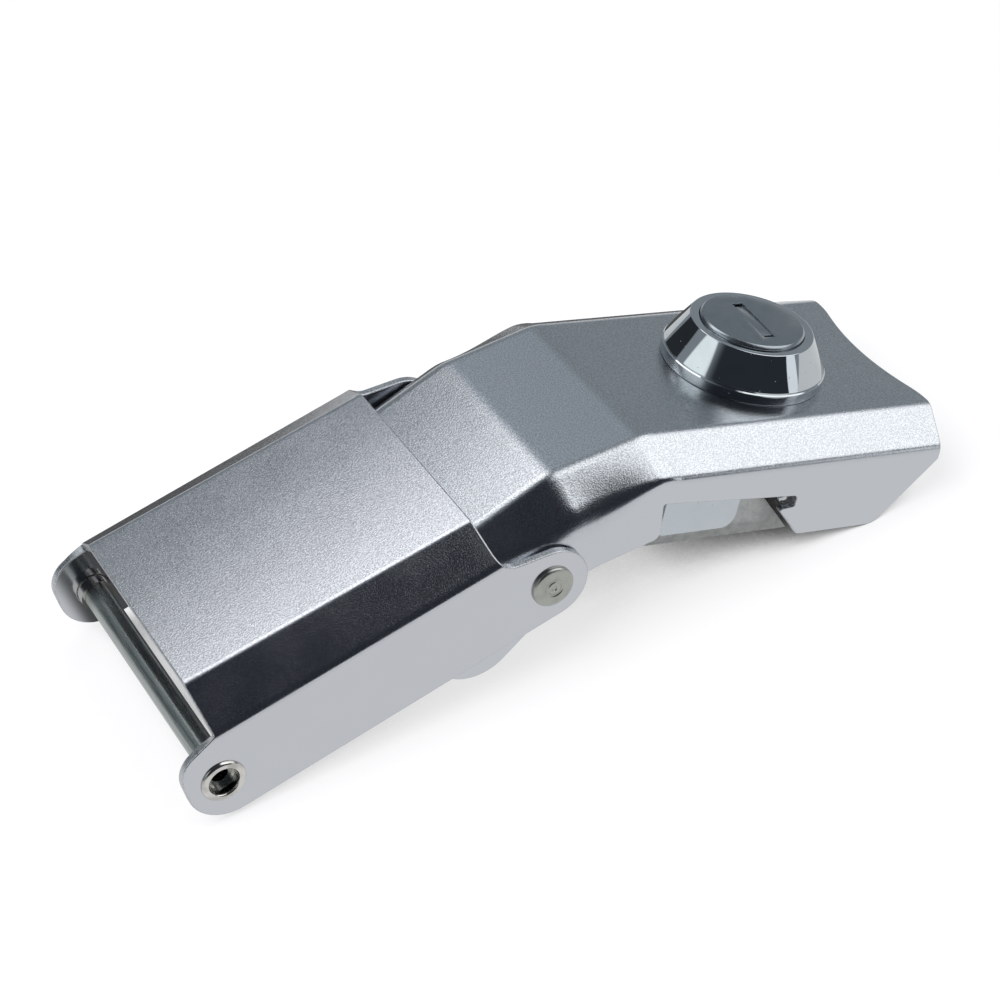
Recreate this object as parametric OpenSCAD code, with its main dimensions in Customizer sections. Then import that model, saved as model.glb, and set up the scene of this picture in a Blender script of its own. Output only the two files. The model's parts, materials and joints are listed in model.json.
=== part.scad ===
// Draw latch for a luggage box: a link cover that swings on a hollow axle, and a key-locked
// lever riveted to it whose claws hook the lid. Millimetres. X runs from the axle towards the
// lock, Y across the latch, Z up; the origin is the middle of the axle.

/* [Link cover] */
// Width over the side walls
body_w = 46; // [42:1:56]
// Thickness of the link's sheet
link_sheet = 1.2; // [1:0.1:1.4]
// Height of the cover's flat top above the axle
cover_top = 12.6; // [12:0.2:14]
// Distance from the axle to the near end of the flat top
cover_back = 1.3; // [0:0.1:3]
// Distance from the axle to the far end of the flat top
cover_front = 45.2; // [43:0.2:46]
// Width of the flat top
cover_flat = 32.8; // [28:0.4:35]
// Depth of the slanted facet at the axle end
facet_back = 4.9; // [4:0.1:5.4]
// Depth of the slanted facet at the hinge end
facet_front = 3.8; // [3.4:0.1:4.4]
// Outer bend radius of the cover's edges
cover_bend = 1.9; // [1.5:0.1:2.4]
// How far the axle ears reach past the axle
ear_reach = 5.25; // [4.8:0.05:6]
// How far the axle ears reach below the axle
ear_depth = 6.7; // [6.2:0.1:7.4]
// Radius of the hinge ears
ear_r = 5.6; // [5.2:0.1:6]

/* [Axle] */
// Diameter of the hollow axle rod
axle_d = 3.8; // [3.4:0.1:4]
// Diameter of the bore through the axle rod
axle_bore_d = 2.6; // [2:0.1:2.8]
// Diameter of the eyelet's open mouth
eyelet_mouth_d = 4.3; // [4.1:0.1:4.4]
// Outer diameter of the eyelet's collar
eyelet_d = 4.9; // [4.8:0.1:5.2]
// Outer diameter of the eyelet's rolled rim
eyelet_rim_d = 6.5; // [6:0.1:7.5]
// Height of the rolled rim over the ear
eyelet_rim_h = 0.5; // [0.4:0.05:0.8]
// Length of the eyelet's collar inside the ear
eyelet_collar = 1.7; // [1.2:0.1:2.5]

/* [Hinge] */
// Distance from the axle to the hinge rivets along the link
hinge_x = 51.2; // [51:0.1:53]
// Height of the hinge rivets above the axle
hinge_z = 0.7; // [0.4:0.1:1]
// Diameter of the rivet shank
rivet_d = 4; // [3.4:0.1:4.4]
// Diameter of the rivet's outer head
rivet_head_d = 6.2; // [5.6:0.1:7]
// Height of the rivet's outer head
rivet_head_h = 0.7; // [0.5:0.1:1]
// Wall of the bearing bush on the rivet
bush_wall = 0.6; // [0.5:0.1:0.8]

/* [Lever] */
// Thickness of the lever's sheet
lever_sheet = 1.2; // [1:0.1:1.4]
// Width of the lever's flat top
lever_flat = 30.2; // [28:0.2:33]
// How far the first bend lies ahead of the hinge
crest_ahead = 6.5; // [6:0.1:7.5]
// How far the first bend lies above the hinge
crest_above = 10.8; // [10.6:0.1:11.2]
// Upward slope of the neck that runs under the cover
neck_rise = 8.8; // [8:0.1:10]
// Length of the top between its two bends
crest_len = 15.1; // [14:0.1:18]
// Downward slope between the two bends
crest_drop = 8.7; // [7:0.1:10]
// Downward slope of the plate that carries the lock
plate_drop = 27.9; // [25:0.1:30]
// Length of the plate that carries the lock
plate_len = 50.3; // [49:0.1:56]
// Radius of the two soft bends
crest_r = 9; // [6:0.5:10]
// Depth of the side facet on the neck
neck_facet = 3.6; // [3:0.1:3.8]
// Depth of the side facet on the plate
plate_facet = 2.4; // [2:0.1:2.8]
// Outer bend radius of the lever's edges
lever_bend = 2.4; // [1.6:0.1:2.8]
// Depth of the finger hollow in the plate's end
finger_hollow = 2; // [1:0.1:2.6]
// Radius of the tail lobe under the cover
tail_r = 6.9; // [6:0.1:7.4]
// Distance from the hinge back to the middle of the tail lobe
tail_back = 12.1; // [11:0.1:13]

/* [Claws] */
// Depth of the claws below the plate's top
claw_depth = 15.35; // [15:0.05:17]
// Distance from the second bend to the claw's tip
claw_tip = 20.8; // [20:0.1:22]
// Distance from the claw's tip to its front corner
claw_len = 18.4; // [17:0.1:19]
// Lean of the claw's hooked edge, along the plate for each unit of depth
claw_lean = 0.97; // [0.8:0.01:1.1]
// Depth of the claw's tip
tip_depth = 9.8; // [9.4:0.1:10.4]
// Width of the undercut behind the claw's tip
undercut_w = 2.6; // [2.2:0.1:3]
// Height of the undercut
undercut_h = 1.9; // [1.7:0.1:2.2]
// Depth of the throat's roof below the plate's top
throat_roof = 6.4; // [6:0.1:6.8]

/* [Lock] */
// Distance from the second bend to the lock's axis
lock_s = 26.3; // [25.6:0.1:27]
// How far the bezel's foot reaches past the barrel
bezel_flange = 2.75; // [2.3:0.05:3.5]
// Diameter of the bezel's rim
bezel_rim_d = 18.2; // [17.6:0.1:19]
// Height of the bezel's rim above the plate
bezel_h = 6.55; // [6:0.05:7.5]
// Height of the bezel's upright foot band
bezel_band = 1.7; // [1:0.1:2]
// Diameter of the threaded barrel
barrel_d = 18.6; // [18:0.1:19]
// Length of the barrel below the plate's top
barrel_len = 9.3; // [8.8:0.1:9.4]
// Diameter of the plug's face
plug_d = 15.4; // [15:0.1:15.6]
// Diameter of the plug's core
core_d = 13.8; // [13:0.1:14]
// How far the plug's face stands above the bezel's rim
plug_proud = 0.6; // [0.3:0.1:1]
// Length of the key slot
key_l = 9.6; // [8.6:0.1:10]
// Width of the key slot
key_w = 1.9; // [1.7:0.1:2.2]
// Turn of the key slot from square, at rest
key_turn = 4; // [0:1:8]

/* [Bolt] */
// Travel of the sliding bolt
bolt_travel = 6; // [5:0.1:6]
// Thickness of the sliding bolt's sheet
bolt_sheet = 1.2; // [1:0.1:1.2]
// Thickness of the guide plates
guide_sheet = 1; // [0.8:0.1:1]
// Diameter of the cam's drive pin
drive_d = 2.4; // [2:0.1:2.6]
// Thickness of the cam
cam_t = 1.4; // [1.2:0.1:1.4]
// Diameter of the guide studs
stud_d = 2; // [1.8:0.1:2.2]
// Diameter of the striker stops
stop_d = 1.6; // [1.3:0.1:1.6]

/* [Clearances] */
// Clearance between a turning part and its bore, on the radius
run_fit = 0.06; // [0.03:0.01:0.09]
// Gap between parts that slide past each other
slide_gap = 0.25; // [0.2:0.05:0.3]
// Gap between the link's walls and the lever's neck
neck_gap = 0.2; // [0.15:0.05:0.3]

/* [Hidden] */
$fn = 96;

// Steps in each rounded corner of a sheet section, in each corner of an outline, and in a long arc
fold_steps = 5;
corner_steps = 10;
arc_steps = 28;
// A little more than a cut has to pass through
over = 1;

// Half widths and the planes of the sheets, from the outside in
half_w = body_w / 2;
link_in = half_w - link_sheet;
neck_half = link_in - neck_gap;
neck_in = neck_half - lever_sheet;
lever_in = half_w - lever_sheet;
guide_in = lever_in - guide_sheet;
bolt_out = guide_in - slide_gap;
bolt_in = bolt_out - bolt_sheet;

// Landmarks of the lever's top line, seen from the side
crest = [hinge_x + crest_ahead, hinge_z + crest_above];
second = crest + crest_len * [cos(crest_drop), -sin(crest_drop)];
along = [cos(plate_drop), -sin(plate_drop)];
outward = [sin(plate_drop), cos(plate_drop)];
function on_side(s, h) = second + s * along + h * outward;

// Unit vector, and a point turned about a centre
function unit(v) = v / norm(v);
function turned(v, a) = [v[0] * cos(a) - v[1] * sin(a), v[0] * sin(a) + v[1] * cos(a)];

// Centre of the round in corner b between a and c, and the points along that round
function round_centre(a, b, c) =
  let (p = [b[0], b[1]], u = unit([a[0], a[1]] - p), w = unit([c[0], c[1]] - p), half = acos(u * w) / 2)
  p + unit(u + w) * b[2] / sin(half);
function round_points(a, b, c, n) =
  let (p = [b[0], b[1]], r = b[2])
  r <= 0 ? [p] :
  let (u = unit([a[0], a[1]] - p), w = unit([c[0], c[1]] - p), half = acos(u * w) / 2,
       centre = round_centre(a, b, c), first = p + u * r / tan(half) - centre,
       way = sign(cross(u, w)) * -1, sweep = 180 - 2 * half)
  [for (k = [0:n]) centre + turned(first, way * sweep * k / n)];

// Closed outline whose corners are given as [x, y, radius]
function outline(v) =
  let (n = len(v))
  [for (i = [0:n - 1]) each round_points(v[(i + n - 1) % n], v[i], v[(i + 1) % n], corner_steps)];

// Open path through the rounded corners of a sheet section, ends included
function fold_path(v) =
  let (n = len(v))
  [[v[0][0], v[0][1]], for (i = [1:n - 2]) each round_points(v[i - 1], v[i], v[i + 1], fold_steps),
   [v[n - 1][0], v[n - 1][1]]];

// Sharp outline corners along an arc, from angle a0 to a1
function arc(c, r, a0, a1) =
  [for (k = [0:arc_steps]) let (a = a0 + (a1 - a0) * k / arc_steps)
    [c[0] + r * cos(a), c[1] + r * sin(a), 0]];

// Angle, seen from c, at which a line from p touches the circle of radius r on the side given by way
function touch(p, c, r, way) = atan2(p[1] - c[1], p[0] - c[0]) + way * acos(r / norm(p - c));

// Section of a folded sheet: half width, flat half, facet depth, outer bend radius and sheet.
// Depths are measured down from the top, square to it
function fold_outer(half, flat, drop, bend, foot) =
  fold_path([[-half, foot], [-half, drop, bend], [-flat, 0, bend],
             [flat, 0, bend], [half, drop, bend], [half, foot]]);
function fold_inner(half, flat, drop, bend, foot, t) =
  let (a = atan2(drop, half - flat), y = half - t, top_y = flat - t * tan(a / 2),
       low = drop + t * tan((90 - a) / 2), r = bend - t)
  fold_path([[-y, foot], [-y, low, r], [-top_y, t, r], [top_y, t, r], [y, low, r], [y, foot]]);

// Skin a folded sheet through its sections; each section holds matching outer and inner points
module folded_sheet(sections) {
  n = len(sections[0][0]);
  m = len(sections);
  ring = 2 * n;
  points = [for (s = sections) each concat(s[0], s[1])];
  // Two triangles between neighbouring points a and b of one section and of the next
  function strip(i, a, b) =
    let (p = i * ring + a, q = i * ring + b) [[p, q, q + ring], [p, q + ring, p + ring]];
  function cap(i, j, a, b) =
    let (k = i * ring + j) [[k, k + a, k + n + 1], [k, k + n + 1, k + b]];
  skins = [for (i = [0:m - 2]) for (j = [0:n - 2])
    each concat(strip(i, j, j + 1), strip(i, n + j + 1, n + j))];
  feet = [for (i = [0:m - 2]) each concat(strip(i, n, 0), strip(i, n - 1, ring - 1))];
  ends = [for (j = [0:n - 2])
    each concat(cap(0, j, n, 1), [for (f = cap(m - 1, j, n, 1)) [f[0], f[2], f[1]]])];
  polyhedron(points = points, faces = concat(skins, feet, ends), convexity = 6);
}

// Draw a side outline and carry it across the latch from y0 to y1
module across(y0, y1) { translate([0, y1, 0]) rotate([90, 0, 0]) linear_extrude(y1 - y0) children(); }
// The same on both sides of the latch, between two distances from the middle
module both_walls(y0, y1) { across(y0, y1) children(); across(-y1, -y0) children(); }
// Round bar across the latch
module bar(d, y0, y1) { across(y0, y1) circle(d = d); }
// Put children at the hinge, or at the far side for way = 1 and the near side for way = -1
module at_hinge() { translate([hinge_x, 0, hinge_z]) children(); }
module side(way) { if (way > 0) children(); else mirror([0, 1, 0]) children(); }
// Local frame of the plate that carries the lock: x along it, z square out of it
module on_plate() { translate([second[0], 0, second[1]]) rotate([0, plate_drop, 0]) children(); }
// Local frame of the lock: z is its axis
module at_lock() { on_plate() translate([lock_s, 0, 0]) children(); }

// The claw's lower front corner, and the axle ear's lower corner, which the latch rests on
front_r = 3;
front_corner = [claw_tip + claw_len, -claw_depth, front_r];
chin_back = 2.3;
chin_depth = 4.3;
chin = [plate_len - chin_back, -chin_depth];
rest_front = let (c = round_centre([claw_tip, -claw_depth], front_corner, chin)) on_side(c[0], c[1]);
ear_low_r = 6.2;
rest_back = [ear_low_r - ear_reach, ear_low_r - ear_depth];
rest_span = rest_front - rest_back;
tilt = -(atan2(rest_span[1], rest_span[0]) - asin((front_r - ear_low_r) / norm(rest_span)));

// Turn the latch so that it lies on its ears and claws
module lying() { rotate([0, -tilt, 0]) children(); }

// Folded sheet of the link: the facet tapers from the axle to the hinge
function link_section(x) =
  let (f = (x - cover_back) / (cover_front - cover_back), drop = facet_back + f * (facet_front - facet_back),
       foot = cover_top + ear_depth + over,
       outer = fold_outer(half_w, cover_flat / 2, drop, cover_bend, foot),
       inner = fold_inner(half_w, cover_flat / 2, drop, cover_bend, foot, link_sheet))
  [for (side = [outer, inner]) [for (p = side) [x, p[0], cover_top - p[1]]]];

// Side outline of the link: the cover's edges, the axle ear and the hinge ear
ear_shoulder = cover_top - facet_back;
ear_top = ear_shoulder - 2.4;
ear_top_r = 4.5;
neck_corner = [cover_front, ear_shoulder, 3];
module link_outline() {
  hinge = [hinge_x, hinge_z];
  low = [-ear_reach, -ear_depth, ear_low_r];
  polygon(outline(concat(
    [[cover_back, cover_top + over, 0], [cover_front, cover_top + over, 0], neck_corner],
    arc(hinge, ear_r, touch([neck_corner[0], neck_corner[1]], hinge, ear_r, -1),
        touch([low[0], low[1]], hinge, ear_r, 1)),
    [low, [-ear_reach, ear_top, ear_top_r], [cover_back, ear_shoulder, 0]])));
}

module link_cover() {
  color("silver") difference() {
    intersection() {
      folded_sheet([link_section(-ear_reach - over), link_section(hinge_x + ear_r + over)]);
      across(-half_w - over, half_w + over) link_outline();
    }
    bar(eyelet_d, -half_w - over, half_w + over);
    at_hinge() bar(rivet_d, -half_w - over, half_w + over);
  }
}

// Hollow rod between the axle ears; each end rests on a shoulder inside its eyelet
rod_inset = 0.3;
eyelet_seat = link_in - rod_inset;
module axle_rod() {
  color("darkgray") difference() {
    bar(axle_d, -eyelet_seat, eyelet_seat);
    bar(axle_bore_d, -half_w, half_w);
  }
}

// Eyelet pressed through an axle ear and rolled over outside it
module eyelet() {
  mouth = eyelet_mouth_d / 2;
  rim = outline([[mouth, 0, 0], [eyelet_rim_d / 2, 0, 0], [eyelet_rim_d / 2, eyelet_rim_h, 0.35],
                 [mouth, eyelet_rim_h, 0.3]]);
  color("gainsboro") union() {
    translate([0, half_w, 0]) rotate([-90, 0, 0]) rotate_extrude() polygon(rim);
    difference() {
      bar(eyelet_d, link_in - eyelet_collar, half_w);
      bar(eyelet_mouth_d, eyelet_seat, half_w + over);
      bar(axle_d, 0, half_w);
    }
  }
}
module eyelet_near() { side(-1) eyelet(); }
module eyelet_far() { side(1) eyelet(); }

// Rivet through the hinge ear: domed head outside, clinched head inside the bush's flange.
// The head's profile has a flat ring round a sunk ring and a small pip
bush_d = rivet_d + 2 * bush_wall;
bush_flange = 0.5;
bush_flange_d = bush_d + 1.6;
clinch_gap = 0.1;
clinch_out = neck_in - bush_flange - clinch_gap;
clinch_h = 0.9;
module hinge_rivet() {
  r = rivet_head_d / 2;
  h = rivet_head_h;
  head = [[0, 0], [r, 0], [r, h * 0.45], [r * 0.97, h * 0.72], [r * 0.88, h * 0.92], [r * 0.6, h],
          [r * 0.46, h], [r * 0.42, h * 0.8], [r * 0.34, h * 0.8], [r * 0.3, h], [r * 0.16, h],
          [r * 0.12, h * 0.8], [0, h * 0.8]];
  clinch = outline([[0, 0, 0], [r * 0.92, 0, 0.3], [r * 0.84, clinch_h, 0.4], [0, clinch_h, 0]]);
  color("lightgray") at_hinge() union() {
    translate([0, half_w, 0]) rotate([-90, 0, 0]) rotate_extrude() polygon(head);
    bar(rivet_d, clinch_out - clinch_h / 2, half_w);
    translate([0, clinch_out, 0]) rotate([90, 0, 0]) rotate_extrude() polygon(clinch);
  }
}
module hinge_rivet_near() { side(-1) hinge_rivet(); }
module hinge_rivet_far() { side(1) hinge_rivet(); }

// Flanged bush pressed into the lever, turning on the rivet
module pivot_bush() {
  color("tan") at_hinge() difference() {
    union() {
      bar(bush_d, neck_in, neck_half);
      bar(bush_flange_d, neck_in - bush_flange, neck_in);
    }
    bar(rivet_d + 2 * run_fit, 0, half_w + over);
  }
}
module pivot_bush_near() { side(-1) pivot_bush(); }
module pivot_bush_far() { side(1) pivot_bush(); }

// Round bend in the lever's top line: where it starts and ends, and its centre
function bend(corner, before, after) =
  let (turn = before - after, mean = (before + after) / 2, reach = crest_r * tan(turn / 2))
  [corner[0] - reach * cos(before), corner[0] + reach * cos(after),
   corner - crest_r / cos(turn / 2) * [-sin(mean), cos(mean)]];
crest_bend = bend(crest, neck_rise, -crest_drop);
second_bend = bend(second, -crest_drop, -plate_drop);

// Height and slope of the lever's top at x
function on_bend(b, x) =
  let (d = x - b[2][0]) [b[2][1] + sqrt(crest_r * crest_r - d * d), -asin(d / crest_r)];
function on_line(p, slope, x) = [p[1] + (x - p[0]) * tan(slope), slope];
function lever_top(x) =
  x < crest_bend[0] ? on_line(crest, neck_rise, x) :
  x < crest_bend[1] ? on_bend(crest_bend, x) :
  x < second_bend[0] ? on_line(crest, -crest_drop, x) :
  x < second_bend[1] ? on_bend(second_bend, x) : on_line(second, -plate_drop, x);

// Smooth change from a to b while x runs from x0 to x1
function eased(a, b, x, x0, x1) =
  let (f = min(1, max(0, (x - x0) / (x1 - x0)))) a + (b - a) * f * f * (3 - 2 * f);

// The lever is narrow under the cover and flares out to the full width past the hinge ears.
// Its side facet tapers between the two bends
flare_from = hinge_x + 3;
flare_to = hinge_x + 6;
facet_from = crest[0] + 2;
facet_to = second[0] - 1;
function lever_section(x) =
  let (top = lever_top(x), stretch = 1 / cos(top[1]),
       half = eased(neck_half, half_w, x, flare_from, flare_to),
       drop = eased(neck_facet, plate_facet, x, facet_from, facet_to),
       foot = 2.5 * claw_depth / stretch,
       outer = fold_outer(half, lever_flat / 2, drop, lever_bend, foot),
       inner = fold_inner(half, lever_flat / 2, drop, lever_bend, foot, lever_sheet))
  [for (side = [outer, inner]) [for (p = side) [x, p[0], top[0] - p[1] * stretch]]];

// Where the lever's sections lie: close together through the flare and the bends
plate_end = on_side(plate_len, 0)[0];
function steps(x0, x1, n) = [for (k = [0:n - 1]) x0 + (x1 - x0) * k / n];
lever_stations = concat(
  steps(hinge_x - tail_back - tail_r - over, flare_from, 1), steps(flare_from, crest_bend[0], 5),
  steps(crest_bend[0], crest_bend[1], 6), steps(crest_bend[1], second_bend[0], 5),
  steps(second_bend[0], second_bend[1], 6), [second_bend[1], plate_end + 5 * over]);

// Side outline of the lever: tail lobe, neck, walls, throat and claws
tail = [hinge_x - tail_back, hinge_z - 3.1];
neck_back = [tail[0] - 2.6, hinge_z + 6];
pivot_r = ear_r - 0.9;
wall_floor = -0.7;
wall_foot_x = hinge_x + 8;
throat_back = 1;
throat_low = 0.8 * claw_depth;
undercut_roof = tip_depth - undercut_h;
undercut_end = claw_tip + undercut_w;
claw_heel = claw_tip + (claw_depth - tip_depth) * claw_lean;
claw_round = 1.5;
tip_round = 0.3;
function at(s, h, r) = concat(on_side(s, h), r);
module lever_outline() {
  hinge = [hinge_x, hinge_z];
  span = hinge - tail;
  under = atan2(span[1], span[0]) - asin((pivot_r - tail_r) / norm(span)) - 90;
  past = plate_len + 3 * over;
  polygon(outline(concat(
    [[neck_back[0], crest[1] + 10 * over, 0], at(past, 12 * over, 0), at(past, over - chin_depth, 0),
     at(chin[0], chin[1], claw_round), at(front_corner[0], front_corner[1], front_r),
     at(claw_heel, -claw_depth, claw_round), at(claw_tip, -tip_depth, tip_round),
     at(undercut_end, tip_round - tip_depth, tip_round), at(undercut_end, -undercut_roof, tip_round),
     at(0, -throat_roof, tip_round), at(throat_back, -throat_low, claw_round),
     [wall_foot_x, hinge_z + wall_floor, 4]],
    arc(hinge, pivot_r, asin(wall_floor / pivot_r), under),
    arc(tail, tail_r, under, touch(neck_back, tail, tail_r, 1) - 360),
    [concat(neck_back, 0)])));
}

// Plan of the lever's end, seen square to the plate, with the finger hollow. Both side strips slant back
end_slant = 2.5;
end_round = 1.5;
hollow_half = 12;
hollow_r = (pow(hollow_half, 2) + pow(finger_hollow, 2)) / (2 * finger_hollow);
module plate_plan() {
  flat = lever_flat / 2;
  wide = half_w + 7 * over;
  slanted = plate_len - end_slant * (wide - flat) / (half_w - flat);
  difference() {
    polygon(outline([
      [-plate_len * 2, -wide, 0], [slanted, -wide, 0], [plate_len, -flat, end_round],
      [plate_len, flat, end_round], [slanted, wide, 0], [-plate_len * 2, wide, 0]]));
    translate([plate_len - finger_hollow + hollow_r, 0]) circle(hollow_r, $fn = 200);
  }
}

// Section of the lock's barrel, with two flats that keep it from turning
barrel_flat = barrel_d / 2 - 0.9;
hole_gap = 0.1;
module barrel_section(gap) {
  intersection() {
    circle(d = barrel_d + 2 * gap);
    square([2 * (barrel_flat + gap), 2 * barrel_d], center = true);
  }
}
module barrel_hole(depth) { translate([0, 0, -depth]) linear_extrude(depth + over) barrel_section(hole_gap); }

// Room that the wide part of the lever leaves round the hinge ear, more above it than ahead of it
ear_room = ear_r + 0.3;
room_rise = [-0.4, 0.9];
module ear_space(r) {
  hinge = [hinge_x, hinge_z];
  for (c = [hinge, hinge + room_rise]) translate(c) circle(r);
}

// Folded sheet of the lever; round the hinge ears its walls are set in, with a step that joins both widths
lap = 0.2;
module set_in_wall() {
  intersection() {
    lever_outline();
    ear_space(ear_room + lever_sheet);
    translate([hinge_x, hinge_z - half_w]) square(body_w);
  }
}
module lever_shell() {
  color("lightsteelblue") difference() {
    union() {
      intersection() {
        folded_sheet([for (x = lever_stations) lever_section(x)]);
        across(-half_w - over, half_w + over) lever_outline();
        on_plate() translate([0, 0, -3 * claw_depth]) linear_extrude(6 * claw_depth) plate_plan();
      }
      both_walls(neck_in, neck_half) set_in_wall();
      both_walls(neck_half - lap, lever_in + lap) intersection() {
        set_in_wall();
        translate([flare_from, hinge_z - half_w]) square(body_w);
      }
    }
    both_walls(neck_half, half_w + over) ear_space(ear_room);
    at_hinge() bar(bush_d, -half_w - over, half_w + over);
    at_lock() barrel_hole(lever_sheet + over);
  }
}

// Plate welded inside each wall, which guides the bolt and closes the throat's back
guide_from = 1.8;
guide_to = 14.5;
guide_top = plate_facet + lever_sheet + 0.8;
guide_depth = 12.65;
guide_rounds = [0.8, 2.2];
module guide_plate() {
  color("silver") on_plate() across(guide_in, lever_in) polygon(outline([
    [guide_from, -guide_top, 0], [guide_to, -guide_top, 0], [guide_to, -guide_depth, guide_rounds[1]],
    [guide_from, -guide_depth, guide_rounds[0]]]));
}
module guide_plate_near() { side(-1) guide_plate(); }
module guide_plate_far() { side(1) guide_plate(); }

// Headed studs that hold the bolt against the guide plate
stud_at = [guide_from + 1.8, guide_from + 5.2];
stud_h = 2.65 - guide_depth;
stud_head = bolt_in - slide_gap;
stud_head_d = stud_d + 1.4;
stud_head_t = 0.6;
module guide_studs() {
  color("gray") on_plate() for (s = stud_at) translate([s, 0, stud_h]) {
    bar(stud_d, stud_head, guide_in);
    bar(stud_head_d, stud_head - stud_head_t, stud_head);
  }
}
module guide_studs_near() { side(-1) guide_studs(); }
module guide_studs_far() { side(1) guide_studs(); }

// U bracket under the lock, whose flanges carry the striker stops
bracket_out = lever_flat / 2 - 0.6;
bracket_in = bracket_out - lever_sheet;
bracket_low = -2 * lever_sheet;
bracket_half = 12;
bracket_side = 5;
flange_depth = tip_depth + 2.7;
flange_half = 6;
stop_at = [claw_tip + undercut_w / 2, -(undercut_roof + tip_depth - tip_round) / 2];
module lock_bracket() {
  u_shape = outline([
    [-bracket_out, -flange_depth, 0], [-bracket_out, -lever_sheet, 2], [bracket_out, -lever_sheet, 2],
    [bracket_out, -flange_depth, 0], [bracket_in, -flange_depth, 0], [bracket_in, bracket_low, 0.8],
    [-bracket_in, bracket_low, 0.8], [-bracket_in, -flange_depth, 0]]);
  back = lock_s - bracket_half - over;
  front = lock_s + bracket_half + over;
  low = -flange_depth - over;
  color("darkgray") on_plate() difference() {
    intersection() {
      translate([lock_s - bracket_half, 0, 0]) rotate([90, 0, 90])
        linear_extrude(2 * bracket_half) polygon(u_shape);
      across(-half_w, half_w) polygon(outline([
        [back, 0, 0], [front, 0, 0], [front, -bracket_side, 0], [lock_s + flange_half, low, 2],
        [stop_at[0] - stop_d - over, low, 2], [back, -bracket_side, 0]]));
    }
    translate([lock_s, 0, 0]) barrel_hole(-bracket_low + over);
    translate([stop_at[0], 0, stop_at[1]]) bar(stop_d, -half_w, half_w);
  }
}

// Round-ended stop that stands in the claw's undercut, where the striker seats
stop_end = half_w - 0.8;
stop_tip = 0.4;
module striker_stop() {
  color("white") on_plate() translate([stop_at[0], 0, stop_at[1]]) union() {
    bar(stop_d, bracket_in, stop_end);
    translate([0, stop_end, 0]) rotate([-90, 0, 0]) cylinder(h = stop_tip, d1 = stop_d, d2 = stop_d / 2);
  }
}
module striker_stop_near() { side(-1) striker_stop(); }
module striker_stop_far() { side(1) striker_stop(); }

// Bezel and threaded barrel of the lock, in one piece. The plug's wide face sits in a counterbore
bezel_foot_d = barrel_d + 2 * bezel_flange;
gasket_t = 0.4;
plug_r = plug_d / 2;
core_r = core_d / 2;
core_top = 4.1;
edge = 0.25;
module lock_housing() {
  foot = bezel_foot_d / 2;
  rim = bezel_rim_d / 2;
  bore = plug_r + run_fit;
  low = barrel_len + gasket_t;
  profile = [
    [bore, bezel_h - edge], [bore + edge, bezel_h], [rim - edge, bezel_h], [rim, bezel_h - edge],
    [foot, bezel_band], [foot, gasket_t], [barrel_d / 2, gasket_t], [barrel_d / 2, -barrel_len],
    [core_r + run_fit, -barrel_len], [core_r + run_fit, core_top], [bore, core_top]];
  color("whitesmoke") at_lock() difference() {
    rotate_extrude() polygon(profile);
    for (x = [-barrel_flat - barrel_d, barrel_flat])
      translate([x, -barrel_d, gasket_t - low - over]) cube([barrel_d, 2 * barrel_d, low + over]);
  }
}

// Flat ring of thickness t lying on z = 0
module ring(outer, inner, t) {
  difference() {
    cylinder(h = t, d = outer);
    translate([0, 0, -over]) cylinder(h = t + 2 * over, d = inner);
  }
}

// Seal under the bezel
gasket_inset = 0.3;
module bezel_gasket() {
  color("dimgray") at_lock() ring(bezel_foot_d - 2 * gasket_inset, barrel_d, gasket_t);
}

// Washer and nut that clamp the lock through the plate and its bracket
washer_t = 0.5;
nut_t = 2.5;
nut_flats = barrel_d + 3.4;
washer_d = nut_flats + 1;
module lock_washer() {
  color("gray") at_lock() translate([0, 0, bracket_low - washer_t]) ring(washer_d, barrel_d, washer_t);
}
module lock_nut() {
  color("silver") at_lock() translate([0, 0, bracket_low - washer_t - nut_t]) difference() {
    cylinder(h = nut_t, r = nut_flats / 2 / cos(30), $fn = 6);
    translate([0, 0, -over]) cylinder(h = nut_t + 2 * over, d = barrel_d);
  }
}

// Levels inside the lock, from the face down, and the small gap round its sliding pieces
wafer_gap = 0.05;
face = bezel_h + plug_proud;
shoulder_gap = 0.08;
clip_top = -barrel_len - 0.1;
clip_t = 0.5;
clip_groove = 0.7;
cam_top = clip_top - 2 * clip_t;
cam_low = cam_top - cam_t;
tang = 6;
screw_d = 3;
shutter_t = 0.5;
shutter_hub = 0.35;
shutter_top = face - 0.6;
shutter_at = [shutter_hub - wafer_gap - key_w / 2, shutter_top - shutter_hub];
shutter_gap = 0.15;
trunnion_d = 0.5;
trunnion_out = key_l / 2 + 0.6;
well_depth = 3.4;
well_room = 0.4;
wafer_size = [4.4, core_d - 1.6, 0.9];
wafer_pitch = 1.8;
wafer_count = 6;
wafer_top = 2.2;
keyway_l = key_l - 1.4;

// Local frame of the key slot, which stands a little off square
module at_key() { at_lock() rotate([0, 0, -key_turn]) children(); }
module keyway(width, length, low, high) {
  translate([-width / 2, -length / 2, low]) cube([width, length, high - low]);
}

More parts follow.
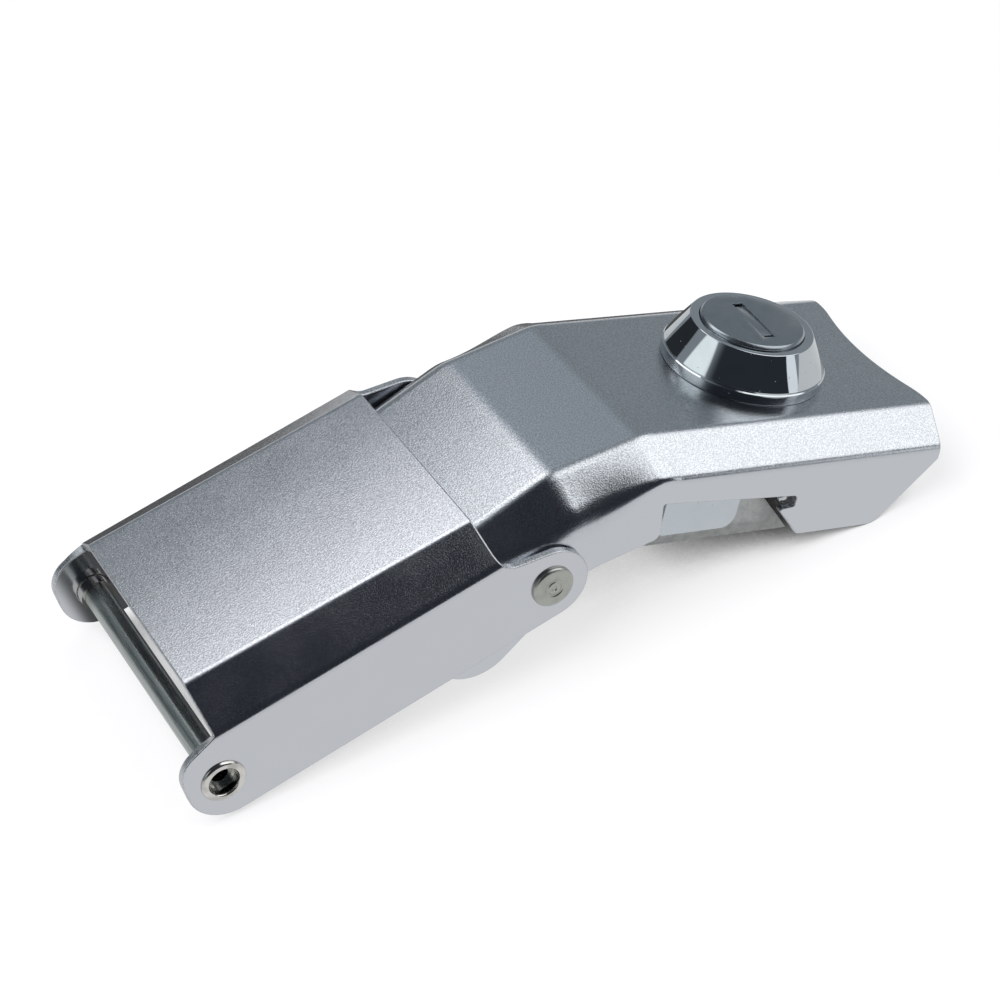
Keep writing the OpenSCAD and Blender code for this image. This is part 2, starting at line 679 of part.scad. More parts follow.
// Turning plug: face with the key slot, core with the wafer slots, and the square tang
module lock_plug() {
  shoulder = core_top + shoulder_gap;
  pivot_out = trunnion_out + wafer_gap;
  bevel = 0.3;
  profile = [
    [0, face], [plug_r - bevel, face], [plug_r, face - bevel], [plug_r, shoulder], [core_r, shoulder],
    [core_r, clip_top], [core_r - clip_groove, clip_top], [core_r - clip_groove, clip_top - clip_t],
    [core_r, clip_top - clip_t], [core_r, cam_top], [0, cam_top]];
  color("lightslategray") difference() {
    at_lock() union() {
      rotate_extrude() polygon(profile);
      translate([-tang / 2, -tang / 2, cam_low]) cube([tang, tang, cam_t + over]);
    }
    at_key() {
      keyway(key_w, key_l, face - well_depth, face + over);
      translate([-well_room, 0, 0]) keyway(key_w, key_l, face - well_depth, shutter_top + wafer_gap);
      keyway(key_w, keyway_l, clip_top + clip_t, face);
      translate([shutter_at[0], 0, shutter_at[1]]) bar(trunnion_d + 2 * wafer_gap, -pivot_out, pivot_out);
      for (k = [0:wafer_count - 1]) translate([0, 0, wafer_top - k * wafer_pitch])
        cube(wafer_size + 2 * wafer_gap * [1, 1, 1], center = true);
    }
    at_lock() translate([0, 0, cam_low - over]) cylinder(h = cam_t + 5 * over, d = screw_d);
  }
}

// Sprung flap that closes the key slot against dust
module key_shutter() {
  reach = key_w - shutter_at[0] - key_w / 2 - 0.1;
  long = key_l - 2 * shutter_gap;
  color("gray") at_key() translate([shutter_at[0], 0, shutter_at[1]]) union() {
    bar(2 * shutter_hub, -long / 2, long / 2);
    translate([0, -long / 2, shutter_hub - shutter_t]) cube([reach, long, shutter_t]);
    bar(trunnion_d, -trunnion_out, trunnion_out);
  }
}

// Tumbler wafers in the core, each with a window for the key
module wafers() {
  color("goldenrod") at_key() for (k = [0:wafer_count - 1])
    translate([0, 0, wafer_top - k * wafer_pitch]) difference() {
      cube(wafer_size, center = true);
      cube([key_w + 0.4, keyway_l + 0.4, wafer_size[2] + over], center = true);
    }
}

// Spring clip in the core's groove, which keeps the plug in the barrel
module plug_clip() {
  color("darkslategray") at_lock() translate([0, 0, clip_top - clip_t]) difference() {
    ring(core_d + 2.2, core_d - 2 * clip_groove, clip_t);
    translate([core_r, 0, 0]) cube([core_r, core_r, 3 * clip_t], center = true);
  }
}

// Cam on the tang, with the drive pin that moves the bolt
bolt_depth = claw_depth - 0.45;
pin_reach = bolt_depth - 0.1;
module cam() {
  end_r = drive_d;
  hub_r = 0.77 * tang;
  slope = acos((hub_r - end_r) / bolt_travel);
  flank = [sin(slope), cos(slope)];
  across_arm = [-flank[0], flank[1]];
  pin = [0, bolt_travel];
  color("slategray") at_lock() {
    difference() {
      translate([0, 0, cam_low]) linear_extrude(cam_t) {
        circle(hub_r);
        translate(pin) circle(end_r);
        polygon([hub_r * flank, pin + end_r * flank, pin + end_r * across_arm, hub_r * across_arm]);
      }
      translate([-tang / 2, -tang / 2, cam_low - over]) cube([tang, tang, cam_t + 2 * over]);
    }
    translate([pin[0], pin[1], -pin_reach]) cylinder(h = pin_reach + cam_low, d = drive_d);
  }
}

// Screw and washer that hold the cam on the tang
cam_washer_t = 0.4;
screw_head_h = 1.1;
module cam_washer() {
  color("lightgray") at_lock() translate([0, 0, cam_low - cam_washer_t])
    ring(tang + 1.4, screw_d, cam_washer_t);
}
module cam_screw() {
  color("silver") at_lock() translate([0, 0, cam_low - cam_washer_t]) difference() {
    union() {
      translate([0, 0, -screw_head_h]) cylinder(h = screw_head_h, d = 1.85 * screw_d);
      cylinder(h = cam_washer_t + cam_t + 3 * over, d = screw_d);
    }
    translate([0, 0, -screw_head_h]) cube([0.8, 2 * screw_d, 1], center = true);
  }
}

// Sliding bolt: a channel whose slanted noses close the throat behind the claws. An arm from its floor
// takes the cam's pin in a slot
nose_gap = 0.5;
bolt_top = -throat_roof - 0.5;
bolt_back = 0.4;
back_lean = 2;
arm_y = [-4.5, 10];
arm_end = lock_s + drive_d + 1.6;
slot_room = 0.4;
module sliding_bolt() {
  function nose(h) = claw_tip - nose_gap - (h + tip_depth) * claw_lean;
  low = -bolt_depth - over;
  channel = outline([
    [-bolt_out, 0, 0], [-bolt_out, -bolt_depth, 2.2], [bolt_out, -bolt_depth, 2.2], [bolt_out, 0, 0],
    [bolt_in, 0, 0], [bolt_in, bolt_sheet - bolt_depth, 1], [-bolt_in, bolt_sheet - bolt_depth, 1],
    [-bolt_in, 0, 0]]);
  slot_r = stud_d / 2 + 0.15;
  slot_ends = [stud_at[0], stud_at[1] + bolt_travel];
  pin_r = drive_d / 2;
  color("darkgray") on_plate() difference() {
    union() {
      intersection() {
        rotate([90, 0, 90]) linear_extrude(claw_tip * 2) polygon(channel);
        across(-half_w, half_w) polygon(outline([
          [bolt_back + back_lean, bolt_top, 0.5], [nose(bolt_top), bolt_top, 0.5], [nose(low), low, 0],
          [bolt_back, low, 0]]));
      }
      translate([claw_tip, arm_y[0], -bolt_depth])
        cube([arm_end - claw_tip, arm_y[1] - arm_y[0], bolt_sheet]);
    }
    across(-half_w, half_w) {
      translate([slot_ends[0], stud_h - slot_r]) square([slot_ends[1] - slot_ends[0], 2 * slot_r]);
      for (s = slot_ends) translate([s, stud_h]) circle(slot_r);
    }
    translate([lock_s - pin_r - 1.6, -pin_r - slot_room, low])
      cube([2 * pin_r + 1.6 + slot_room, bolt_travel + 2 * (pin_r + slot_room), bolt_sheet + 2 * over]);
  }
}

lying() link_cover();
lying() axle_rod();
lying() eyelet_near();
lying() eyelet_far();
lying() hinge_rivet_near();
lying() hinge_rivet_far();
lying() lever_shell();
lying() pivot_bush_near();
lying() pivot_bush_far();
lying() guide_plate_near();
lying() guide_plate_far();
lying() guide_studs_near();
lying() guide_studs_far();
lying() lock_bracket();
lying() striker_stop_near();
lying() striker_stop_far();
lying() lock_housing();
lying() bezel_gasket();
lying() lock_washer();
lying() lock_nut();
lying() lock_plug();
lying() key_shutter();
lying() wafers();
lying() plug_clip();
lying() cam();
lying() cam_washer();
lying() cam_screw();
lying() sliding_bolt();
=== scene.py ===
"""Luggage box lock: a folded link cover on a hollow axle and a key-locked lever with claws.

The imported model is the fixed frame. This script dresses it: folded sheets with fine bends and
rolled-over cut edges, turned eyelets, rivets and lock, and a finish for every piece.
Sizes are millimetres in the latch's own frame (X to the lock, Z up, origin in the axle's middle),
and are laid into the shared frame in metres by Stand.
"""

import json
import logging
import math
from collections.abc import Callable, Iterable, Sequence
from dataclasses import dataclass
from enum import Enum

import bmesh
import bpy
import numpy as np
from mathutils import Matrix, Vector
from mathutils.geometry import delaunay_2d_cdt


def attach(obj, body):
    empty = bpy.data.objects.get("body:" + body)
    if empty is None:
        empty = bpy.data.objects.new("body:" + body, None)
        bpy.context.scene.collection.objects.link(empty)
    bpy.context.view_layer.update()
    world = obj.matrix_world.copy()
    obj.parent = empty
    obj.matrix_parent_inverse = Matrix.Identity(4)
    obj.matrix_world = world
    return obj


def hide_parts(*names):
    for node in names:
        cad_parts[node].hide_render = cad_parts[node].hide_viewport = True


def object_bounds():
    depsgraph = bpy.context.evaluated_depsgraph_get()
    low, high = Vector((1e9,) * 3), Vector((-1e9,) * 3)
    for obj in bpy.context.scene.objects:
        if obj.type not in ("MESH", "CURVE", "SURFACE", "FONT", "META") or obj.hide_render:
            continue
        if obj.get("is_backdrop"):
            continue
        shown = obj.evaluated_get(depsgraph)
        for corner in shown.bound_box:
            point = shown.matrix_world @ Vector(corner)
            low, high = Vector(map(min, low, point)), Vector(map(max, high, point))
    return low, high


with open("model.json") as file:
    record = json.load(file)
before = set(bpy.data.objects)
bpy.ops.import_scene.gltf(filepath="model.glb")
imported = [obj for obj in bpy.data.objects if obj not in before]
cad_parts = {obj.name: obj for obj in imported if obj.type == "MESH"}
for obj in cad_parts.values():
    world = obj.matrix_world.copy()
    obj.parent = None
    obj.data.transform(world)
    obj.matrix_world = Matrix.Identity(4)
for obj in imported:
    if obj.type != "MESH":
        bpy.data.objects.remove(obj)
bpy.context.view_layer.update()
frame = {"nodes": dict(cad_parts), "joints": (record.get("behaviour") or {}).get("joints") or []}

log = logging.getLogger("luggage_box_lock")

Colour = tuple[float, float, float]
MM = 0.001


# Sizes and the frame that the latch lies in

@dataclass(frozen=True)
class LatchSizes:
    """Sizes that several sub-assemblies share, in millimetres and degrees."""

    body_w: float = 46.0
    sheet: float = 1.2
    hinge: tuple[float, float] = (51.2, 0.7)
    ear_r: float = 5.6
    rivet_d: float = 4.0
    bush_wall: float = 0.6
    neck_gap: float = 0.2
    lever_half: float = 21.4
    wall_s: float = 1.18
    wall_h: float = -1.18
    crest_ahead: float = 6.5
    crest_above: float = 10.8
    crest_len: float = 15.1
    crest_drop: float = 8.7
    plate_drop: float = 27.9
    lock_s: float = 26.3
    barrel_d: float = 18.6

    @property
    def half(self) -> float:
        """Half the width over the side walls."""
        return self.body_w / 2

    @property
    def neck_half(self) -> float:
        """Half width of the lever's neck between the link's walls."""
        return self.half - self.sheet - self.neck_gap

    @property
    def bush_d(self) -> float:
        """Bore in the lever for the bearing bush."""
        return self.rivet_d + 2 * self.bush_wall

    @property
    def crest(self) -> np.ndarray:
        """First bend of the lever's top line, seen from the side."""
        return np.array([self.hinge[0] + self.crest_ahead, self.hinge[1] + self.crest_above])

    @property
    def second(self) -> np.ndarray:
        """Second bend of the lever's top line, where the lock plate starts."""
        drop = math.radians(self.crest_drop)
        return self.crest + self.crest_len * np.array([math.cos(drop), -math.sin(drop)])

    def on_plate(self, s: float, h: float) -> np.ndarray:
        """Point of the side view at s along the lock plate and h out of it.

        Args:
            s: Distance along the plate from the second bend.
            h: Height over the plate's top face.

        Returns:
            The point's x and z.
        """
        drop = math.radians(self.plate_drop)
        return self.second + s * np.array([math.cos(drop), -math.sin(drop)]) \
            + h * np.array([math.sin(drop), math.cos(drop)])


SIZES = LatchSizes()


class Stand:
    """Lays the latch's own frame into the shared frame, from the hinge's packed place."""

    def __init__(self, sizes: LatchSizes, joints: Sequence[dict]) -> None:
        """Reads the tilt of the lying latch.

        Args:
            sizes: The shared sizes.
            joints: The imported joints, of which the lever's hinge gives the tilt.
        """
        place = next(j["pos_m"] for j in joints if j["name"] == "lever_hinge")
        self.tilt = math.atan2(place[2], place[0]) - math.atan2(sizes.hinge[1], sizes.hinge[0])
        self.turn = Matrix.Rotation(-self.tilt, 3, "Y")

    def lay(self, points: np.ndarray) -> np.ndarray:
        """Turns millimetre points of the latch's frame into metres of the shared frame."""
        return (np.asarray(points, float) @ np.array(self.turn.transposed())) * MM

    def direction(self, vector: np.ndarray) -> np.ndarray:
        """Turns a direction of the latch's frame into the shared frame."""
        return np.asarray(vector, float) @ np.array(self.turn.transposed())


STAND = Stand(SIZES, frame["joints"])


# Outlines

def corners_of(mesh: bpy.types.Mesh) -> np.ndarray:
    """Reads a mesh's corners, one row for each."""
    co = np.empty(len(mesh.vertices) * 3)
    mesh.vertices.foreach_get("co", co)
    return co.reshape(-1, 3)


def unit(v: np.ndarray) -> np.ndarray:
    """Returns the vector with length 1."""
    return v / np.linalg.norm(v)


def round_corner(a: np.ndarray, b: np.ndarray, c: np.ndarray, r: float, steps: int) -> list[np.ndarray]:
    """Points along the round of radius r in corner b between a and c.

    Args:
        a: Corner before.
        b: Corner that is rounded.
        c: Corner after.
        r: Radius, or 0 for a sharp corner.
        steps: Steps along the round.

    Returns:
        The points, or the corner itself where it is sharp.
    """
    if r <= 0:
        return [b]
    u, w = unit(a - b), unit(c - b)
    half = math.acos(float(np.clip(u @ w, -1, 1))) / 2
    centre = b + unit(u + w) * r / math.sin(half)
    first = b + u * r / math.tan(half) - centre
    way = -math.copysign(1.0, u[0] * w[1] - u[1] * w[0])
    sweep = way * (math.pi - 2 * half)
    angles = [sweep * k / steps for k in range(steps + 1)]
    return [centre + np.array([first[0] * math.cos(t) - first[1] * math.sin(t),
                               first[0] * math.sin(t) + first[1] * math.cos(t)]) for t in angles]


def outline(corners: Sequence[Sequence[float]], steps: int = 12) -> np.ndarray:
    """Closed outline whose corners are given as (x, y, radius).

    Args:
        corners: The corners in order.
        steps: Steps along each round.

    Returns:
        The outline's points, one row each.
    """
    plain = [np.array(c[:2], float) for c in corners]
    n = len(corners)
    points: list[np.ndarray] = []
    for i, corner in enumerate(corners):
        points += round_corner(plain[i - 1], plain[i], plain[(i + 1) % n], corner[2], steps)
    return np.array(points)


def arc(centre: Sequence[float], r: float, start: float, end: float, steps: int = 36) -> list[tuple]:
    """Sharp outline corners along an arc between two angles in radians."""
    return [(centre[0] + r * math.cos(start + (end - start) * k / steps),
             centre[1] + r * math.sin(start + (end - start) * k / steps), 0.0) for k in range(steps + 1)]


def touch(p: Sequence[float], c: Sequence[float], r: float, way: int) -> float:
    """Angle, seen from c, at which a line from p touches the circle of radius r."""
    d = np.subtract(p, c)
    return math.atan2(d[1], d[0]) + way * math.acos(r / float(np.hypot(*d)))


def densify(path: np.ndarray, step: float) -> np.ndarray:
    """Adds points to an open path so that none of its steps is longer than step."""
    rows = [path[:1]]
    for a, b in zip(path[:-1], path[1:]):
        n = max(1, math.ceil(float(np.linalg.norm(b - a)) / step))
        rows.append(a + (b - a) * (np.arange(1, n + 1) / n)[:, None])
    return np.vstack(rows)


def smooth_step(f: np.ndarray) -> np.ndarray:
    """Eases a 0 to 1 ramp at both ends."""
    f = np.clip(f, 0.0, 1.0)
    return f * f * (3 - 2 * f)


# Folded sheets

@dataclass
class FoldedSheet:
    """A sheet folded to a flat top, two slanted facets and two side walls.

    A point of the outer face is given by x along the latch and by v, the way round the section
    from its middle: flat, upper bend, facet, lower bend, and millimetres down the wall.

    Attributes:
        top: Gives the height and the slope of the flat top at x.
        half: Gives half the width over the walls at x.
        drop: Gives the depth of the facet at x.
        flat: Half width of the flat top.
        bend: Outer radius of the upper bend.
        low_bend: Gives the outer radius of the lower bend at x.
        sheet: Thickness.
        rim: Radius of the rolled-over cut edges.
        bend_steps: Rows of faces in each bend.
    """

    top: Callable[[np.ndarray], tuple[np.ndarray, np.ndarray]]
    half: Callable[[np.ndarray], np.ndarray]
    drop: Callable[[np.ndarray], np.ndarray]
    flat: float
    bend: float
    low_bend: Callable[[np.ndarray], np.ndarray]
    sheet: float
    rim: float = 0.2
    bend_steps: int = 8
    knots: tuple[float, ...] = (0.0, 15.0, 16.6, 22.6, 25.0)

    def section(self, x: np.ndarray, q: np.ndarray, w: float) -> tuple[np.ndarray, np.ndarray]:
        """Distance from the middle and depth under the top, at way q and w deep in the sheet.

        Args:
            x: Where the section is.
            q: 0 to 1 on the flat, to 2 in the upper bend, to 3 on the facet, to 4 in the lower
                bend, then millimetres down the wall.
            w: Depth into the sheet.

        Returns:
            The distances and the depths.
        """
        half, drop = self.half(x), self.drop(x)
        a = np.arctan2(drop, half - self.flat)
        low = self.low_bend(x)
        t1, t2 = self.bend * np.tan(a / 2), low * np.tan((np.pi / 2 - a) / 2)
        facet = np.hypot(drop, half - self.flat) - t1 - t2
        r, r_low = self.bend - w, low - w
        p1 = a * np.clip(q - 1, 0, 1)
        p2 = a + (np.pi / 2 - a) * np.clip(q - 3, 0, 1)
        g = facet * np.clip(q - 2, 0, 1)
        flat = np.clip(q, 0, 1) * (self.flat - t1)
        y = flat + r * np.sin(p1) + g * np.cos(a) + r_low * (np.sin(p2) - np.sin(a))
        d = self.bend - r * np.cos(p1) + g * np.sin(a) - r_low * (np.cos(p2) - np.cos(a))
        return y, d + np.maximum(q - 4, 0)

    def way(self, v: np.ndarray) -> np.ndarray:
        """Turns v into the section's q."""
        v = np.abs(v)
        return np.interp(v, self.knots, range(5)) + np.maximum(v - self.knots[-1], 0)

    def place(self, x: np.ndarray, v: np.ndarray, w: float) -> np.ndarray:
        """Points of the sheet, w deep under its outer face.

        Args:
            x: Positions along the latch.
            v: Positions round the section, negative on the near side.
            w: Depth into the sheet.

        Returns:
            One row of x, y, z for each point.
        """
        y, d = self.section(x, self.way(v), w)
        height, slope = self.top(x)
        z = height - d / np.cos(slope)
        return np.stack([x, np.sign(v) * y, z], axis=1)

    def frame_at(self, x: np.ndarray, v: np.ndarray, w: float) -> tuple[np.ndarray, np.ndarray, np.ndarray]:
        """Slopes along x and v, and the outward normal, by small differences."""
        e = 1e-3
        along = (self.place(x + e, v, w) - self.place(x - e, v, w)) / (2 * e)
        round_ = (self.place(x, v + e, w) - self.place(x, v - e, w)) / (2 * e)
        normal = np.cross(along, round_)
        return along, round_, normal / np.linalg.norm(normal, axis=1)[:, None]

    def unfold(self, x: np.ndarray, z: np.ndarray) -> np.ndarray:
        """Gives v for points of the side view, on the far side."""
        height, slope = self.top(x)
        depth = (height - z) * np.cos(slope)
        q = np.linspace(1, 4, 121)
        result = np.empty(len(x))
        for i in range(len(x)):
            one = np.full(len(q), x[i])
            rows = self.section(one, q, 0.0)[1]
            low = rows[-1]
            if depth[i] >= low:
                result[i] = self.knots[-1] + depth[i] - low
            else:
                result[i] = np.interp(np.interp(depth[i], rows, q), range(5), self.knots)
        return result

    def unfold_plan(self, x: np.ndarray, y: np.ndarray) -> np.ndarray:
        """Gives v for points on the flat top."""
        a = np.arctan2(self.drop(x), self.half(x) - self.flat)
        return y / (self.flat - self.bend * np.tan(a / 2)) * self.knots[1]


@dataclass
class SheetMesher:
    """Turns a folded sheet and its outlines into a closed mesh with rolled-over cut edges.

    Attributes:
        sheet: The folded sheet.
        outer: Half of the outer outline as (x, v) points, from the middle at one end to the
            middle at the other; its mirror image is added.
        holes: Closed (x, v) outlines of holes; each is used as it stands.
        columns: Positions along x where the faces are split.
    """

    sheet: FoldedSheet
    outer: np.ndarray
    holes: list[np.ndarray]
    columns: Sequence[float]
    rim_steps: int = 4

    @staticmethod
    def inset(loop: np.ndarray, r: float) -> np.ndarray:
        """Moves a closed loop to its left by r."""
        ahead = np.roll(loop, -1, axis=0) - loop
        ahead /= np.maximum(np.linalg.norm(ahead, axis=1), 1e-9)[:, None]
        behind = np.roll(ahead, 1, axis=0)
        normals = np.stack([-(ahead + behind)[:, 1], (ahead + behind)[:, 0]], axis=1)
        length = np.maximum(np.linalg.norm(normals, axis=1), 1e-9)[:, None]
        mitre = np.minimum(2.0 / length, 1.5)
        return loop + normals / length * mitre * r

    @staticmethod
    def area(loop: np.ndarray) -> float:
        """Signed area of a closed loop."""
        x, y = loop[:, 0], loop[:, 1]
        return 0.5 * float(np.sum(x * np.roll(y, -1) - np.roll(x, -1) * y))

    @staticmethod
    def inside(points: np.ndarray, loops: Iterable[np.ndarray]) -> np.ndarray:
        """Tells which points lie inside an odd number of loops."""
        odd = np.zeros(len(points), bool)
        for loop in loops:
            a, b = loop, np.roll(loop, -1, axis=0)
            for (x0, y0), (x1, y1) in zip(a, b):
                if y0 == y1:
                    continue
                cross = (y0 > points[:, 1]) != (y1 > points[:, 1])
                at = x0 + (points[:, 1] - y0) * (x1 - x0) / (y1 - y0)
                odd ^= cross & (points[:, 0] < at)
        return odd

    def loops(self) -> list[np.ndarray]:
        """All outlines, turned so that the sheet lies to their left, and inset by the rim."""
        mirrored = self.outer[::-1] * np.array([1, -1])
        whole = np.vstack([self.outer, mirrored[1:-1]])
        found = []
        for loop, hole in [(whole, False)] + [(h, True) for h in self.holes]:
            if (self.area(loop) > 0) == hole:
                loop = loop[::-1]
            keep = np.linalg.norm(loop - np.roll(loop, 1, axis=0), axis=1) > 1e-4
            found.append(self.inset(loop[keep], self.sheet.rim))
        return found

    def triangles(self) -> tuple[np.ndarray, np.ndarray]:
        """Splits the unfolded sheet into triangles that follow its bends.

        Returns:
            The (x, v) points and the corners of each triangle.
        """
        loops = self.loops()
        points: list[np.ndarray] = []
        edges: list[tuple[int, int]] = []

        def add(path: np.ndarray, closed: bool) -> None:
            """Adds a path as edges that the triangles keep."""
            start = len(points)
            points.extend(path)
            last = len(points) - 1
            edges.extend((k, k + 1) for k in range(start, last))
            if closed:
                edges.append((last, start))

        for loop in loops:
            add(loop, True)
        low, high = loops[0].min(0) - 1, loops[0].max(0) + 1
        knots = self.sheet.knots
        ways = [1 + k / self.sheet.bend_steps for k in range(self.sheet.bend_steps + 1)]
        ways += [3 + k / self.sheet.bend_steps for k in range(self.sheet.bend_steps + 1)]
        ways += [2.25, 2.5, 2.75, 0.5]
        for q in ways:
            v = float(np.interp(q, range(5), knots))
            for side in (-1, 1):
                add(np.array([[low[0], side * v], [high[0], side * v]]), False)
        for x in self.columns:
            add(np.array([[x, low[1]], [x, high[1]]]), False)
        out, _, faces = delaunay_2d_cdt([Vector(p) for p in points], edges, [], 0, 1e-5)[:3]
        flat = np.array([tuple(p) for p in out])
        tri = np.array([f for f in faces if len(f) == 3])
        corners = flat[tri]
        keep = self.inside(corners.mean(1), loops)
        e1, e2 = corners[:, 1] - corners[:, 0], corners[:, 2] - corners[:, 0]
        turn = e1[:, 0] * e2[:, 1] - e1[:, 1] * e2[:, 0]
        keep &= np.abs(turn) > 1e-9
        tri[turn < 0] = tri[turn < 0][:, ::-1]
        tri = tri[keep]
        used, back = np.unique(tri, return_inverse=True)
        return flat[used], back.reshape(-1, 3)

    def mesh(self, name: str, finishes: Sequence[bpy.types.Material]) -> bpy.types.Mesh:
        """Builds the sheet.

        Args:
            name: Name of the mesh.
            finishes: The faces' finish and the cut edges' finish.

        Returns:
            The mesh, laid into the shared frame, with its normals and the attribute "blast".
        """
        flat, tri = self.triangles()
        x, v = flat[:, 0], flat[:, 1]
        sheet, r = self.sheet, self.sheet.rim
        half_edges = {(a, b) for t in tri for a, b in ((t[0], t[1]), (t[1], t[2]), (t[2], t[0]))}
        border = [(a, b) for a, b in half_edges if (b, a) not in half_edges]
        after = dict(border)
        before = {b: a for a, b in border}
        along, round_, normal = sheet.frame_at(x, v, 0.0)
        points = [sheet.place(x, v, 0.0), sheet.place(x, v, sheet.sheet)]
        inner = -sheet.frame_at(x, v, sheet.sheet)[2]
        normals = [normal, inner]
        rim = np.array(sorted(after))
        way = flat[[after[i] for i in rim]] - flat[[before[i] for i in rim]]
        out = along[rim] * way[:, 1:2] - round_[rim] * way[:, 0:1]
        out /= np.linalg.norm(out, axis=1)[:, None]
        count = len(flat)
        rings = [dict(zip(rim, rim))]
        start = 2 * count
        for base, lift in ((0, normal[rim]), (1, inner[rim])):
            ring_rows = []
            for k in range(1, self.rim_steps + 1):
                t = math.pi / 2 * k / self.rim_steps
                spot = points[base][rim] + r * (math.sin(t) * out - (1 - math.cos(t)) * lift)
                ring_rows.append((spot, math.cos(t) * lift + math.sin(t) * out))
            if base:
                ring_rows.reverse()
            for spot, lean in ring_rows:
                points.append(spot)
                normals.append(lean)
                rings.append({i: start + k for k, i in enumerate(rim)})
                start += len(rim)
        rings.append({i: count + i for i in rim})
        faces = [tuple(t) for t in tri] + [(t[2] + count, t[1] + count, t[0] + count) for t in tri]
        surface = len(faces)
        for upper, lower in zip(rings[:-1], rings[1:]):
            faces += [(upper[a], lower[a], lower[b], upper[b]) for a, b in border]
        mesh = bpy.data.meshes.new(name)
        mesh.from_pydata(STAND.lay(np.vstack(points)).tolist(), [], [tuple(map(int, f)) for f in faces])
        for finish in finishes:
            mesh.materials.append(finish)
        index = np.zeros(len(faces), np.int32)
        index[surface:] = 1
        mesh.polygons.foreach_set("material_index", index)
        mesh.polygons.foreach_set("use_smooth", np.ones(len(faces), bool))
        blast = 1 - smooth_step((sheet.way(v) - 3.15) / 0.8)
        values = np.concatenate([blast, np.zeros(count)] + [blast[rim] * 0.3] * (len(points) - 2))
        mesh.attributes.new("blast", "FLOAT", "POINT").data.foreach_set("value", values.astype(np.float32))
        mesh.validate()
        mesh.normals_split_custom_set_from_vertices(STAND.direction(np.vstack(normals)).tolist())
        return mesh


# Finishes

class Texture(Enum):
    """How a metal surface was worked."""

    BLASTED = "bead-blasted before plating"
    SMOOTH = "smooth plated"
    TURNED = "turned, with fine rings"
    SHEARED = "cut edge of a sheet"
    MOTTLED = "dull zinc plate with patches"
    BRUSHED = "brushed along one way"


class NodeBench:
    """Adds and joins the nodes of one node tree."""

    def __init__(self, tree: bpy.types.NodeTree) -> None:
        """Starts on an empty tree."""
        self.tree = tree
        tree.nodes.clear()

    def add(self, kind: str, inputs: dict | None = None, **settings: object) -> bpy.types.Node:
        """Adds a node.

        Args:
            kind: Blender's name of the node type.
            inputs: Values or sockets for its inputs, by name or number.
            **settings: Its own settings.

        Returns:
            The node.
        """
        node = self.tree.nodes.new(kind)
        for key, value in settings.items():
            setattr(node, key, value)
        for key, value in (inputs or {}).items():
            socket = node.inputs[key]
            if isinstance(value, bpy.types.NodeSocket):
                self.tree.links.new(value, socket)
            else:
                socket.default_value = value
        return node

    def mix(self, fac: object, a: object, b: object) -> bpy.types.NodeSocket:
        """Mixes two colours by a factor and returns the result's socket."""
        node = self.add("ShaderNodeMix", {0: fac, 6: a, 7: b}, data_type="RGBA", clamp_factor=True)
        return node.outputs[2]

    def maths(self, operation: str, a: object, b: object = 0.0) -> bpy.types.NodeSocket:
        """Joins two numbers by an operation and returns the result's socket."""
        return self.add("ShaderNodeMath", {0: a, 1: b}, operation=operation).outputs[0]

    def ramp(self, value: object, low: float, high: float, to_low: float = 0.0,
             to_high: float = 1.0) -> bpy.types.NodeSocket:
        """Maps a value's range onto another one, smoothly, and returns the result's socket."""
        return self.add("ShaderNodeMapRange", {0: value, 1: low, 2: high, 3: to_low, 4: to_high},
                        interpolation_type="SMOOTHSTEP").outputs[0]

    def noise(self, where: object, size: float, detail: float = 2.0, roughness: float = 0.5,
              distortion: float = 0.0) -> bpy.types.NodeSocket:
        """Noise whose features are about size millimetres across; returns its factor's socket."""
        return self.add("ShaderNodeTexNoise", {"Vector": where, "Scale": 1 / (size * MM), "Detail": detail,
                                               "Roughness": roughness, "Distortion": distortion}).outputs[0]


def rgba(colour: Colour) -> tuple[float, float, float, float]:
    """Adds a full alpha to a colour."""
    return (*colour, 1.0)


